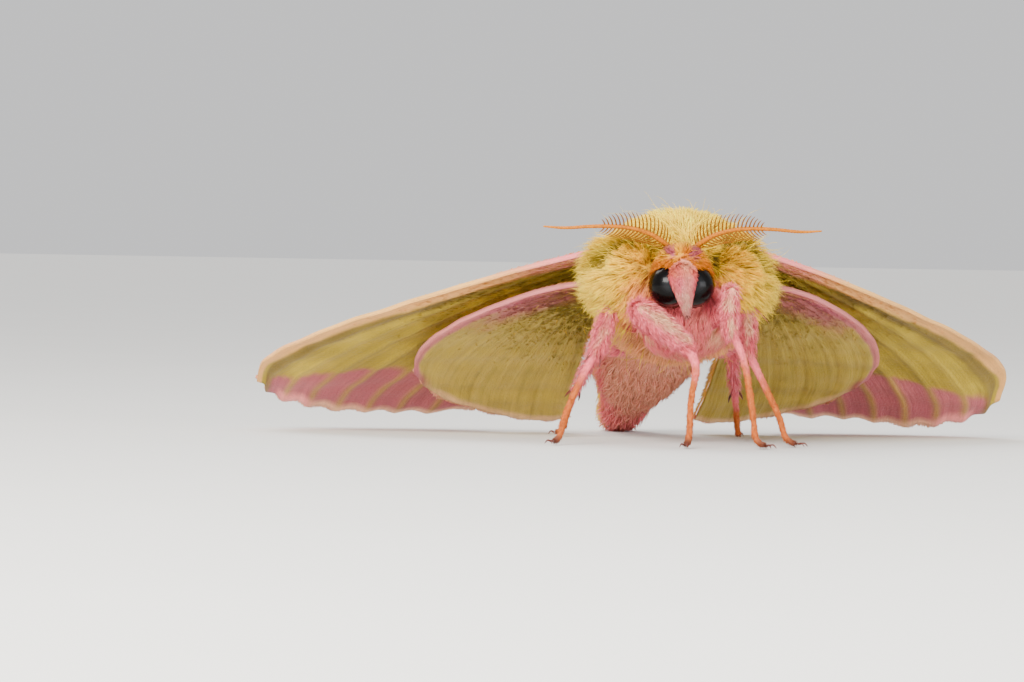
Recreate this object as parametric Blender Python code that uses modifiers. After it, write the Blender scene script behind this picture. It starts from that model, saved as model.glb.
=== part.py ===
"""A rosy maple moth at rest with half-open wings, life size, standing on level ground.

Everything is modelled in millimetres from a point below the thorax's middle, and the finished
pieces are then moved and scaled to metres. The head points along -Y and the moth's left is +X.
"""

import math
import random

import bmesh
import bpy
import numpy as np
from mathutils import Matrix, Vector

MM = 0.001
MIDDLE_Y = 4.16  # where the middle of the whole length lies, behind the thorax's middle
GAP = 0.3  # clearance between neighbouring pieces
GOLDEN_ANGLE = math.pi * (3 - math.sqrt(5))

# Coat: locks on the dome, the chest and the two collar lobes, and on the abdomen
LOCK_THICKNESS = 0.58
LOCK_SIDES = 4
LOCKS_ON_THORAX = (78, 15, 18, 18)
LOCKS_ON_ABDOMEN = 46
ABDOMEN_COAT = (0.15, 0.93)  # shares of the abdomen's length between which locks grow
FACE_COAT = 0.45  # how far the locks on the head stand off it
HEAD_LOCKS = ((-0.36, 0.5), (0.36, 0.5), (0.0, 0.62), (-0.24, 0.8), (0.24, 0.8), (0.0, 0.93))  # right and up
SEED = 1928
SCATTER = 0.16  # how far single locks stray from the way the coat lies
LOCK_VARIETY = (0.92, 1.1)
FACE_CLEARING = 1.9  # no lock of the thorax grows this near to the head's middle
BARE_REAR, BARE_BELOW = 0.82, -0.8  # nor where the flesh faces the abdomen or the ground this squarely
ABDOMEN_BARE_HEIGHT = 0.5  # below this the abdomen is smooth

# Locks of each region: length, width, and height above the flesh at their bend
DOME_LOCK = (2.25, 1.5, 0.4)
LOBE_LOCK = (1.45, 1.15, 0.42)
ABDOMEN_LOCK = (2.1, 1.4, 0.36)
FACE_LOCK = (0.95, 0.75, 0.26)
ROOT_DEPTH = 0.5  # how deep a lock is sunk

# Thorax: ellipsoids of flesh, tipped so that the head end is raised
PITCH = math.radians(22)
THORAX_AT = Vector((0, 0, 6.8))
BACK = Vector((0, math.cos(PITCH), -math.sin(PITCH)))  # along the body, towards the tail
UP = Vector((0, math.sin(PITCH), math.cos(PITCH)))
THORAX_RADII = (3.35, 3.6, 2.85)
CHEST_AT = THORAX_AT - 1.1 * BACK - 1.6 * UP
CHEST_RADII = (2.2, 2.5, 1.7)
COLLARS_AT = (Vector((1.8, -2.2, 7.3)), Vector((-2.55, -2.2, 7.3)))
COLLAR_RADII = (1.5, 1.4, 1.55)

# Head: a capsule turned a little to the moth's right
HEAD_AT = Vector((-0.65, -4.2, 7.3))
HEAD_TURN = math.radians(-9)
HEAD_RADII = (1.2, 1.15, 1.3)
EYE_RADIUS = 0.87
EYE_OUT, EYE_FORWARD, EYE_HEIGHT = 0.54, 0.45, -0.43
EYE_SPLIT = 0.16  # half the space between the two eyes

# Mouth tuft, from the head's middle: right, forward, height
PALPS_PATH = ((0, 0.95, 0.3), (0.02, 1.55, -0.1), (0.08, 1.8, -0.72), (0.14, 1.74, -1.2), (0.2, 1.58, -1.66))
PALPS_WIDTHS = (0.5, 0.56, 0.5, 0.38, 0.26, 0.14)
PALPS_DEPTHS = (0.34, 0.36, 0.36, 0.34, 0.28, 0.14)

# Antennae, from the head's middle: out, forward, height
ANTENNA_RADII = (0.3, 0.28, 0.26, 0.25, 0.25, 0.24, 0.22, 0.2, 0.14)
ANTENNA_PATH = (
    (0.42, -0.45, 0.75), (0.58, -0.2, 1.2), (0.88, 0.0, 1.46), (1.3, 0.15, 1.71), (1.75, 0.3, 1.88),
    (2.3, 0.42, 2.0), (3.0, 0.5, 2.05), (3.9, 0.45, 2.03), (5.1, 0.3, 1.95), (5.95, 0.2, 2.0),
)
RAMUS_REACH = (0.95, 1.05, 1.0, 0.95, 0.85, 0.7)  # length of each pair of filaments, from the base
RAMUS_START, RAMUS_STEP = 0.14, 0.083
RAMUS_WIDTHS = (0.25, 0.22, 0.17, 0.1)
UPPER_LEAN, LOWER_LEAN = 0.22, 0.6  # towards the tip
RAMUS_FORWARD = 0.55

# Wings: a frame at the root of the forewing, along the span, across the chord and up
SWEEP, DIP, TILT = math.radians(35), math.radians(17.5), math.radians(29.5)
FOREWING_ROOT = Vector((3.05, -0.6, 8.45))
HINDWING_IN, HINDWING_BEHIND, HINDWING_BELOW = 0.6, 1.0, 1.12
CELL_THICKNESS, VEIN_THICKNESS = 0.5, 0.78
VEIN_SPREAD = 0.03  # half a ridge's width as a share of the wing's edge
VEIN_END, CELL_END = 1.006, 0.997  # how far veins and cells reach, for a wavy outer edge
FOREWING_PLEAT, HINDWING_PLEAT = 0.08, -0.12  # how far the cells rise between veins at the outer edge
WING_ROWS, ROOM_ROWS = 6, 4
CAMBER, CAMBER_SPAN, CAMBER_CHORD = 0.4, 19, 12
SAG = {1: 0.65, -1: 0.0}  # how far the left forewing's tip hangs below its plane
SAG_SPAN = (13.5, 19.3)  # where along the span it sets in, and where it is whole
SAG_CHORD = (2.5, 5, 9)  # across the chord: whole by, falling from, gone by
SAG_AT_COSTA = 0.2  # the share of it at the front edge

# Forewing edges as (along the span, across the chord)
FOREWING_COSTA = (
    (0, 0), (2.5, -0.4), (6, -0.75), (10, -0.95), (13.5, -0.95), (16, -0.65), (17.8, -0.1), (19.0, 1.3),
)
FOREWING_OUTER = ((19.0, 1.3), (19.3, 3.0), (18.6, 4.7), (17.3, 6.5), (15.7, 8.05), (14.1, 9.2), (12.6, 9.6))
FOREWING_INNER = ((0, 1.4), (1.5, 2.2), (5, 4.8), (9, 7.7), (12.6, 9.6))
FOREWING_VEINS = (0.0, 0.1, 0.21, 0.32, 0.44, 0.56, 0.68, 0.81, 1.0)

# Hindwing edges, from its own root
HINDWING_COSTA = ((0, 0), (1.6, -0.9), (4, -1.2), (6.6, -0.9), (8.9, -0.1), (10.6, 1.1), (11.6, 2.6))
HINDWING_OUTER = ((11.6, 2.6), (11.9, 4.4), (11.4, 6.3), (10.3, 8.2), (9.2, 9.4), (8.0, 9.9))
HINDWING_INNER = ((0, 1.0), (2.2, 2.5), (5, 5.9), (7.0, 8.4), (8.0, 9.9))
HINDWING_VEINS = (0.0, 0.15, 0.32, 0.5, 0.67, 0.84, 1.0)

# Abdomen: middle line with its half widths, sloping to the ground
ABDOMEN_PATH = (
    (0, 1.6, 6.2), (0, 3.5, 5.75), (0, 7.0, 4.45), (0, 10.6, 2.7), (0, 13.2, 1.2), (0, 14.5, 0.75),
)
ABDOMEN_RADII = (1.9, 2.35, 2.3, 1.85, 1.1, 0.75)

# Legs of one side each: middle lines of femur, tibia and tarsus with half widths
LEGS = {
    "foreleg_left": (
        (((0.7, -2.6, 4.9), 0.4), ((1.05, -3.9, 5.7), 0.42), ((1.34, -5.15, 6.75), 0.38)),
        (((1.36, -5.2, 6.85), 0.36), ((1.2, -5.6, 5.9), 0.42), ((1.15, -6.0, 4.95), 0.38)),
        (((1.13, -5.95, 5.1), 0.3), ((1.6, -6.15, 4.1), 0.26), ((2.1, -6.35, 1.6), 0.25),
         ((2.35, -6.5, 0.3), 0.25), ((2.6, -6.85, 0.17), 0.25)),
    ),
    "foreleg_right": (
        (((-0.9, -2.6, 4.8), 0.5), ((-1.9, -3.4, 5.3), 0.55), ((-2.6, -4.35, 5.95), 0.5)),
        (((-2.7, -4.4, 6.0), 0.55), ((-1.75, -5.1, 5.2), 0.6), ((-0.7, -5.75, 4.35), 0.45)),
        (((-0.85, -5.7, 4.45), 0.34), ((-0.4, -5.95, 3.8), 0.28), ((-0.55, -6.3, 2.0), 0.25),
         ((-0.7, -6.5, 0.3), 0.25), ((-0.85, -6.85, 0.17), 0.25)),
    ),
    "midleg_left": (
        (((1.2, -1.2, 5.0), 0.45), ((1.8, -1.9, 5.5), 0.5), ((2.4, -2.7, 6.2), 0.45)),
        (((2.45, -2.75, 6.25), 0.42), ((2.45, -3.1, 5.2), 0.45), ((2.4, -3.5, 4.05), 0.38)),
        (((2.4, -3.45, 4.2), 0.3), ((2.85, -3.7, 3.2), 0.26), ((3.75, -4.0, 1.3), 0.25),
         ((4.15, -4.15, 0.3), 0.25), ((4.45, -4.4, 0.17), 0.25)),
    ),
    "midleg_right": (
        (((-1.3, -1.2, 5.0), 0.45), ((-2.3, -1.9, 5.3), 0.5), ((-3.3, -2.6, 5.85), 0.45)),
        (((-3.35, -2.6, 5.9), 0.42), ((-3.75, -3.0, 5.0), 0.45), ((-4.15, -3.45, 3.95), 0.38)),
        (((-4.1, -3.4, 4.1), 0.3), ((-4.9, -3.75, 2.7), 0.26), ((-5.6, -4.0, 1.1), 0.25),
         ((-5.85, -4.1, 0.3), 0.25), ((-6.1, -4.4, 0.17), 0.25)),
    ),
    "hindleg_left": (
        (((1.3, 1.0, 4.6), 0.4), ((2.2, 1.9, 4.1), 0.42), ((3.0, 2.9, 4.2), 0.36)),
        (((3.0, 2.95, 4.25), 0.34), ((3.3, 3.9, 3.1), 0.32), ((3.6, 4.9, 2.1), 0.28)),
        (((3.55, 4.8, 2.2), 0.26), ((3.8, 5.5, 1.2), 0.25), ((4.0, 6.1, 0.3), 0.25),
         ((4.15, 6.6, 0.17), 0.25)),
    ),
}

# Shares of a leg part's length at which its rings lie: of femur and tibia, and of the tarsus
THIGH_RINGS = (0, 0.06, 0.25, 0.5, 0.75, 0.94, 1)
FOOT_RINGS = (0, 0.04, 0.15, 0.32, 0.5, 0.68, 0.82, 0.92, 0.97, 1)

ALL_LEGS = dict(LEGS)
ALL_LEGS["hindleg_right"] = tuple(
    tuple(((-x, y, z), radius) for (x, y, z), radius in part) for part in LEGS["hindleg_left"]
)

MATERIALS = {
    "yellow_coat": ((0.93, 0.72, 0.22), 0.85),
    "orange_coat": ((0.88, 0.45, 0.10), 0.85),
    "pink_coat": ((0.83, 0.36, 0.48), 0.85),
    "wing_membrane": ((0.62, 0.50, 0.22), 0.7),
    "antenna_horn": ((0.72, 0.38, 0.08), 0.5),
    "eye_gloss": ((0.02, 0.018, 0.02), 0.12),
}
SLOT_OF = {
    "head": "orange_coat", "palps": "pink_coat", "eye": "eye_gloss", "antenna": "antenna_horn",
    "thorax": "yellow_coat", "abdomen": "yellow_coat",
    "forewing": "wing_membrane", "hindwing": "wing_membrane",
    "foreleg": "pink_coat", "midleg": "pink_coat", "hindleg": "pink_coat",
}


# Objects, collections and materials

def clear_scene():
    for obj in list(bpy.data.objects):
        bpy.data.objects.remove(obj, do_unlink=True)


def new_collection(name):
    made = bpy.data.collections.new(name)
    bpy.context.scene.collection.children.link(made)
    return made


def new_material(name, colour, roughness):
    made = bpy.data.materials.new(name)
    made.use_nodes = True
    shader = made.node_tree.nodes["Principled BSDF"]
    shader.inputs["Base Color"].default_value = (*colour, 1)
    shader.inputs["Roughness"].default_value = roughness
    return made


def put(bm, name, collection):
    """Closes off a bmesh as an object."""
    bmesh.ops.recalc_face_normals(bm, faces=bm.faces)
    mesh = bpy.data.meshes.new(name)
    bm.to_mesh(mesh)
    bm.free()
    obj = bpy.data.objects.new(name, mesh)
    collection.objects.link(obj)
    return obj


def helper(obj):
    obj.hide_render = True
    obj.display_type = "WIRE"
    return obj


def discard(obj):
    mesh = obj.data
    bpy.data.objects.remove(obj, do_unlink=True)
    bpy.data.meshes.remove(mesh)


def settle(obj):
    """Puts the shape that the modifiers give in place of the mesh below them."""
    graph = bpy.context.evaluated_depsgraph_get()
    made = bpy.data.meshes.new_from_object(obj.evaluated_get(graph))
    obj.modifiers.clear()
    before = obj.data
    obj.data = made
    bpy.data.meshes.remove(before)
    made.name = obj.name
    return obj


def combine(obj, others, operation):
    """One Boolean of the object with all the others, which are used up."""
    group = bpy.data.collections.new("operands")
    for other in others:
        group.objects.link(other)
    modifier = obj.modifiers.new(operation.lower(), "BOOLEAN")
    modifier.operation = operation
    modifier.operand_type = "COLLECTION"
    modifier.collection = group
    modifier.solver = "EXACT"
    settle(obj)
    for other in others:
        discard(other)
    bpy.data.collections.remove(group)
    return keep_largest(obj)


def fuse(obj, others):
    return combine(obj, others, "UNION")


def cut(obj, others):
    return combine(obj, others, "DIFFERENCE")


def signed_volume(faces):
    total = 0.0
    for face in faces:
        first = face.verts[0].co
        for second, third in zip(face.verts[1:-1], face.verts[2:]):
            total += first.dot(second.co.cross(third.co))
    return total / 6


def keep_largest(obj):
    """Keeps the largest closed surface of a mesh."""
    bm = bmesh.new()
    bm.from_mesh(obj.data)
    waiting = set(bm.faces)
    shells = []
    while waiting:
        shell = [waiting.pop()]
        for face in shell:
            for edge in face.edges:
                if len(edge.link_faces) > 2:
                    continue
                for other in edge.link_faces:
                    if other in waiting:
                        waiting.remove(other)
                        shell.append(other)
        shells.append(shell)
    shells.sort(key=signed_volume, reverse=True)
    spare = [face for shell in shells[1:] for face in shell]
    bmesh.ops.delete(bm, geom=spare, context="FACES")
    bmesh.ops.triangulate(bm, faces=bm.faces)
    bm.to_mesh(obj.data)
    bm.free()
    return obj


# Shapes

def smooth_curve(points, count=64):
    """Points spaced evenly along a curve that runs through the given ones."""
    points = np.array(points, float)
    steps = np.linalg.norm(np.diff(points, axis=0), axis=1)
    at = np.concatenate([[0], np.cumsum(steps)])
    slopes = np.gradient(points, at, axis=0)
    found = []
    for t in np.linspace(0, at[-1], count):
        i = min(int(np.searchsorted(at, t, side="right")) - 1, len(points) - 2)
        step = at[i + 1] - at[i]
        x = (t - at[i]) / step
        found.append(
            (2 * x**3 - 3 * x**2 + 1) * points[i] + (x**3 - 2 * x**2 + x) * step * slopes[i]
            + (3 * x**2 - 2 * x**3) * points[i + 1] + (x**3 - x**2) * step * slopes[i + 1]
        )
    return np.array(found)


def point_on(curve, t):
    place = t * (len(curve) - 1)
    low = min(int(place), len(curve) - 2)
    return Vector(curve[low] + (curve[low + 1] - curve[low]) * (place - low))


def heading(curve, t):
    low, high = max(t - 0.02, 0), min(t + 0.02, 1)
    return (point_on(curve, high) - point_on(curve, low)).normalized()


def ramp(value, low, high):
    """0 below low, 1 above high, and smooth between them."""
    x = min(max((value - low) / (high - low), 0), 1)
    return x * x * (3 - 2 * x)


def spindle(name, points, widths, depths, collection, sides=6, stations=None, across=(1, 0, 0.01)):
    """A ball drawn out along a curve, with a half width and a half depth given at even steps along it."""
    if stations is None:
        stations = np.linspace(0, 1, len(widths) + 2)
    curve = smooth_curve(points)
    knots = np.linspace(0, 1, len(widths))
    bm = bmesh.new()
    rings = len(stations) - 1
    bmesh.ops.create_uvsphere(bm, u_segments=sides, v_segments=rings, radius=1)
    for vert in bm.verts:
        height = max(-1.0, min(1.0, vert.co.z))
        t = stations[round(math.acos(-height) / math.pi * rings)]
        centre, along = point_on(curve, t), heading(curve, t)
        wide = Vector(across)
        wide = (wide - wide.dot(along) * along).normalized()
        round_at = Vector((vert.co.x, vert.co.y, 0))
        if round_at.length > 1e-6:
            round_at.normalize()
            half_width = float(np.interp(t, knots, widths))
            half_depth = float(np.interp(t, knots, depths))
            centre += wide * round_at.x * half_width + along.cross(wide) * round_at.y * half_depth
        vert.co = centre
    return put(bm, name, collection)


def ball(name, centre, radii, collection, turn=None, sides=16, rings=10):
    bm = bmesh.new()
    bmesh.ops.create_uvsphere(bm, u_segments=sides, v_segments=rings, radius=1)
    shape = Matrix.Diagonal((*radii, 1))
    if turn is not None:
        shape = turn.to_4x4() @ shape
    bmesh.ops.transform(bm, matrix=Matrix.Translation(centre) @ shape, verts=bm.verts)
    return put(bm, name, collection)


def block(name, low, high, collection, turn=None):
    """A box between two corners, turned about the modelling origin where a turn is given."""
    bm = bmesh.new()
    bmesh.ops.create_cube(bm, size=1)
    low, high = Vector(low), Vector(high)
    bmesh.ops.scale(bm, vec=high - low, verts=bm.verts)
    bmesh.ops.translate(bm, vec=(low + high) / 2, verts=bm.verts)
    if turn is not None:
        bmesh.ops.transform(bm, matrix=turn, verts=bm.verts)
    return helper(put(bm, name, collection))


def ground(collection):
    return block("ground", (-30, -30, -5), (30, 30, 0), collection)


def head_room(collection, extra=GAP):
    radii = [radius + extra for radius in HEAD_RADII]
    return helper(ball("head_room", HEAD_AT, radii, collection, turn=HEAD_FRAME.to_3x3()))


# Body

BODY_TURN = Matrix((Vector((1, 0, 0)), BACK, UP)).transposed()
HEAD_FRAME = Matrix.Translation(HEAD_AT) @ Matrix.Rotation(HEAD_TURN, 4, "Z")


def thorax_balls(extra=0.0):
    """Centre, radii and turn of each ellipsoid of the thorax."""
    upright = Matrix.Identity(3)
    found = [
        (THORAX_AT, THORAX_RADII, BODY_TURN),
        (CHEST_AT, CHEST_RADII, BODY_TURN),
        (COLLARS_AT[0], COLLAR_RADII, upright),
        (COLLARS_AT[1], COLLAR_RADII, upright),
    ]
    return [(centre, tuple(r + extra for r in radii), turn) for centre, radii, turn in found]


def thorax_core(name, collection, extra=0.0):
    made = []
    for i, (centre, radii, turn) in enumerate(thorax_balls(extra)):
        made.append(ball(f"{name}_{i}", centre, radii, collection, turn=turn))
    core = fuse(made[0], made[1:])
    core.name = name
    return core


def lock(root, normal, lay, size, scale, collection):
    """A flat, tapered lock, sunk into the flesh at its root and bent over to lie along the coat."""
    length, width, rise = size[0] * scale, size[1] * scale, size[2]
    side = normal.cross(lay).normalized()
    thick = LOCK_THICKNESS / 2
    places = (
        root - ROOT_DEPTH * normal,
        root + 0.8 * rise * normal + 0.2 * length * lay,
        root + rise * normal + 0.6 * length * lay,
        root + 0.75 * rise * normal + length * lay,
    )
    widths = [width / 2 * share for share in (0.6, 0.85, 1.0, 0.95, 0.65, 0.25)]
    depths = [thick * share for share in (1.0, 1.0, 1.0, 0.95, 0.7, 0.3)]
    stations = (0, 0.25, 0.5, 0.75, 0.93, 1)
    return spindle("lock", places, widths, depths, collection, LOCK_SIDES, stations, side)


def tangent(way, normal):
    return (way - way.dot(normal) * normal).normalized()


def lay_on_thorax(point, normal, collar):
    """The coat runs back over the dome, out from the face over the collar, and down over the flanks."""
    flank = point.x / THORAX_RADII[0]
    if collar:
        way = Vector((1.0 * math.copysign(1, point.x), 0.45, -0.5))
    else:
        way = 0.9 * BACK + Vector((0.9 * flank, 0, -0.8 * abs(flank)))
    way += Vector([random.uniform(-SCATTER, SCATTER) for _ in range(3)])
    return tangent(way, normal)


def thorax_locks(collection):
    balls = thorax_balls()
    made = []
    for i, ((centre, radii, turn), count) in enumerate(zip(balls, LOCKS_ON_THORAX)):
        collar = i > 1
        for k in range(count):
            height = 1 - (2 * k + 1) / count
            ring = math.sqrt(1 - height * height)
            unit = Vector((ring * math.cos(k * GOLDEN_ANGLE), ring * math.sin(k * GOLDEN_ANGLE), height))
            point = centre + turn @ Vector([c * r for c, r in zip(unit, radii)])
            normal = (turn @ Vector([c / r for c, r in zip(unit, radii)])).normalized()
            if inside_other(point, balls, i) or (point - HEAD_AT).length < FACE_CLEARING:
                continue
            if normal.dot(BACK) > BARE_REAR or (i == 1 and normal.z < BARE_BELOW):
                continue
            lay = lay_on_thorax(point, normal, collar)
            size = LOBE_LOCK if i else DOME_LOCK
            made.append(lock(point, normal, lay, size, random.uniform(*LOCK_VARIETY), collection))
    return made


def abdomen_locks(collection):
    curve = smooth_curve(ABDOMEN_PATH)
    made = []
    for k in range(LOCKS_ON_ABDOMEN):
        t = ABDOMEN_COAT[0] + (ABDOMEN_COAT[1] - ABDOMEN_COAT[0]) * k / LOCKS_ON_ABDOMEN
        centre, along = point_on(curve, t), heading(curve, t)
        radius = float(np.interp(t, np.linspace(0, 1, len(ABDOMEN_RADII)), ABDOMEN_RADII))
        angle = k * GOLDEN_ANGLE
        normal = Vector((math.cos(angle), 0, math.sin(angle)))
        normal = tangent(normal, along)
        point = centre + radius * normal
        if point.z < ABDOMEN_BARE_HEIGHT:
            continue
        lay = tangent(along + 0.1 * Vector([random.uniform(-1, 1) for _ in range(3)]), normal)
        made.append(lock(point, normal, lay, ABDOMEN_LOCK, min(1, 0.45 + radius / 3), collection))
    return made


def head_locks(collection):
    """The tuft between the antennae, lying down over the face, with a few locks over the crown."""
    made = []
    for right, up in HEAD_LOCKS:
        unit = Vector((right, -math.sqrt(1 - right * right - up * up), up))
        turn = HEAD_FRAME.to_3x3()
        normal = (turn @ Vector([c / r for c, r in zip(unit, HEAD_RADII)])).normalized()
        point = HEAD_AT + turn @ Vector([c * r for c, r in zip(unit, HEAD_RADII)])
        lay = tangent(turn @ Vector((right, -0.2, -1 if up < 0.8 else 0.4)), normal)
        made.append(lock(point, normal, lay, FACE_LOCK, 1, collection))
    return made


def inside_other(point, balls, own):
    """Whether a point lies within an ellipsoid other than its own."""
    for i, (centre, radii, turn) in enumerate(balls):
        if i == own:
            continue
        local = turn.transposed() @ (point - centre)
        if sum((c / r) ** 2 for c, r in zip(local, radii)) < 1.0:
            return True
    return False


def in_head(point):
    """A point given as right of the face's middle, forward and up, set in the modelling frame."""
    right, forward, up = point
    return HEAD_FRAME @ Vector((right, -forward, up))


# Wings

def wing_columns(veins):
    """Shares of the edge at which columns run, each with how far it is raised as a vein."""
    columns = []
    for i, vein in enumerate(veins):
        columns += [(vein + step * VEIN_SPREAD, step == 0) for step in (-1, 0, 1)]
        if i + 1 < len(veins):
            columns.append(((vein + veins[i + 1]) / 2, None))
    return [(t, raised) for t, raised in columns if -1e-9 <= t <= 1 + 1e-9]


def wing(name, side, root, costa, outer, inner, veins, rows, pleat, collection, extra):
    """A thin wing whose veins fan from the root as ridges, or the room it needs with something extra."""
    along = Vector((math.cos(SWEEP) * math.cos(DIP), math.sin(SWEEP) * math.cos(DIP), -math.sin(DIP)))
    above = Vector((0, math.sin(TILT), math.cos(TILT)))
    above = (above - above.dot(along) * along).normalized()
    behind = above.cross(along)
    start_in, start_behind, start_below = root
    sag_whole, sag_falls, sag_gone = SAG_CHORD
    columns = wing_columns(veins)
    curves = [smooth_curve([(u, v, 0) for u, v in edge]) for edge in (costa, outer, inner)]
    bm = bmesh.new()
    bmesh.ops.create_grid(bm, x_segments=rows, y_segments=len(columns) - 1, size=0.5)
    weight = bm.verts.layers.deform.verify()
    for vert in bm.verts:
        s = vert.co.x + 0.5
        t, raised = columns[round((vert.co.y + 0.5) * (len(columns) - 1))]
        front, edge, back = point_on(curves[0], s), point_on(curves[1], t), point_on(curves[2], s)
        start = Vector(curves[0][0]).lerp(Vector(curves[2][0]), t)
        corners = start.lerp(Vector(curves[1][0]).lerp(Vector(curves[1][-1]), t), s)
        flat = front.lerp(back, t) + start.lerp(edge, s) - corners
        if s > 0.999 and 0 < t < 1:
            flat *= VEIN_END if raised else CELL_END if raised is None else 1.0
        u, v = flat.x + start_in, flat.y + start_behind + extra * (2 * t - 1)
        arch = math.sin(math.pi * min(u / CAMBER_SPAN, 1))
        arch *= math.sin(math.pi * min(max((v + 1) / CAMBER_CHORD, 0), 1))
        hang = ramp(u, *SAG_SPAN) * min(max(SAG_AT_COSTA + v / sag_whole, 0), 1)
        hang *= 1 - ramp(v, sag_falls, sag_gone)
        rise = CAMBER * arch - start_below - SAG[side] * hang + (pleat * s if raised is None else 0)
        place = FOREWING_ROOT + u * along + v * behind + rise * above
        vert.co = Vector((place.x * side, place.y, place.z))
        fade = min(s / 0.2, 1)
        floor = CELL_THICKNESS / VEIN_THICKNESS
        vert[weight][0] = floor + (1 - floor) * fade if raised else floor
    bmesh.ops.triangulate(bm, faces=bm.faces)
    obj = put(bm, name, collection)
    obj.vertex_groups.new(name="thickness")
    thicken = obj.modifiers.new("thickness", "SOLIDIFY")
    thicken.thickness = VEIN_THICKNESS + 2 * extra
    thicken.offset = 0
    thicken.vertex_group = "thickness"
    thicken.use_rim = True
    return settle(obj)


def forewing(side, collection, extra=0.0):
    name = "forewing_left" if side > 0 else "forewing_right"
    edges = (FOREWING_COSTA, FOREWING_OUTER, FOREWING_INNER)
    veins, rows, pleat = ((0, 1), ROOM_ROWS, 0) if extra else (FOREWING_VEINS, WING_ROWS, FOREWING_PLEAT)
    return wing(name, side, (0, 0, 0), *edges, veins, rows, pleat, collection, extra)


def hindwing(side, collection, extra=0.0):
    name = "hindwing_left" if side > 0 else "hindwing_right"
    root = (HINDWING_IN, HINDWING_BEHIND, HINDWING_BELOW)
    edges = (HINDWING_COSTA, HINDWING_OUTER, HINDWING_INNER)
    veins, rows, pleat = ((0, 1), ROOM_ROWS, 0) if extra else (HINDWING_VEINS, WING_ROWS, HINDWING_PLEAT)
    return wing(name, side, root, *edges, veins, rows, pleat, collection, extra)


# Legs, head and antennae

def leg(name, parts, collection, extra=0.0):
    made = []
    for i, part in enumerate(parts):
        radii = [radius + extra for _, radius in part]
        places = [place for place, _ in part]
        rings = THIGH_RINGS if len(part) < 4 else FOOT_RINGS
        made.append(spindle(f"{name}_{i}", places, radii, radii, collection, stations=rings))
    joined = fuse(made[0], made[1:])
    joined.name = name
    return joined


def antenna(side, collection):
    name = "antenna_left" if side > 0 else "antenna_right"
    path = [in_head((side * out, forward, up)) for out, forward, up in ANTENNA_PATH]
    shaft = spindle(
        name, path, ANTENNA_RADII, ANTENNA_RADII, collection, stations=np.linspace(0, 1, 13), across=(0, 1, 0)
    )
    curve = smooth_curve(path)
    rami = []
    forward = HEAD_FRAME.to_3x3() @ Vector((0, -1, 0))
    stations = (0, 0.12, 0.5, 0.88, 1)
    for i, reach in enumerate(RAMUS_REACH):
        t = RAMUS_START + RAMUS_STEP * i
        centre, along = point_on(curve, t), heading(curve, t)
        upward = (Vector((0, 0, 1)) - along.z * along).normalized()
        for sign, lean in ((1, UPPER_LEAN), (-1, LOWER_LEAN)):
            way = (sign * upward + lean * along + RAMUS_FORWARD * forward).normalized()
            bend = 0.12 * along - 0.1 * sign * upward
            places = [centre - 0.12 * way, centre + 0.5 * reach * way, centre + reach * (way + bend)]
            rami.append(spindle("ramus", places, RAMUS_WIDTHS, RAMUS_WIDTHS, collection, 5, stations, along))
    return fuse(shaft, rami)


# The model

def build_wings(model, tools):
    made = {}
    for side in (1, -1):
        for wing_of in (forewing, hindwing):
            obj = cut(wing_of(side, model), [thorax_core("room", tools, GAP)])
            made[obj.name] = obj
    return made


def build_legs(model, tools):
    made = {}
    for name, parts in ALL_LEGS.items():
        made[name] = cut(leg(name, parts, model), [thorax_core("room", tools, GAP), ground(tools)])
    return made


def eye(side, collection, extra=0.0):
    centre = in_head((side * EYE_OUT, EYE_FORWARD, EYE_HEIGHT))
    name = "eye_left" if side > 0 else "eye_right"
    return ball(name, centre, (EYE_RADIUS + extra,) * 3, collection, turn=HEAD_FRAME.to_3x3())


def palps(collection, extra=0.0):
    path = [in_head(p) for p in PALPS_PATH]
    widths, depths = ([half + extra for half in halves] for halves in (PALPS_WIDTHS, PALPS_DEPTHS))
    across = HEAD_FRAME.to_3x3() @ Vector((1, 0, 0.01))
    return spindle("palps", path, widths, depths, collection, sides=8, across=across)


def abdomen_core(collection, extra=0.0):
    radii = [radius + extra for radius in ABDOMEN_RADII]
    stations = np.linspace(0, 1, 10)
    return spindle("abdomen", ABDOMEN_PATH, radii, radii, collection, sides=14, stations=stations)


def build_head(model, tools):
    """The head capsule with its eyes, mouth tuft and antennae, each clear of its neighbours."""
    head = fuse(ball("head", HEAD_AT, HEAD_RADII, model, turn=HEAD_FRAME.to_3x3()), head_locks(tools))
    made = {"head": cut(head, [eye(1, tools, GAP), eye(-1, tools, GAP)])}
    face_rooms = [eye(1, tools, GAP), eye(-1, tools, GAP), head_room(tools, FACE_COAT + GAP)]
    made["palps"] = cut(palps(model), face_rooms)
    for side in (1, -1):
        inner = (EYE_SPLIT * side, -4 * side)
        middle = block("middle", (min(inner), -4, -4), (max(inner), 4, 4), tools, turn=HEAD_FRAME)
        for obj in (cut(eye(side, model), [middle]), cut(antenna(side, model), [head_room(tools)])):
            made[obj.name] = obj
    return made


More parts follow.
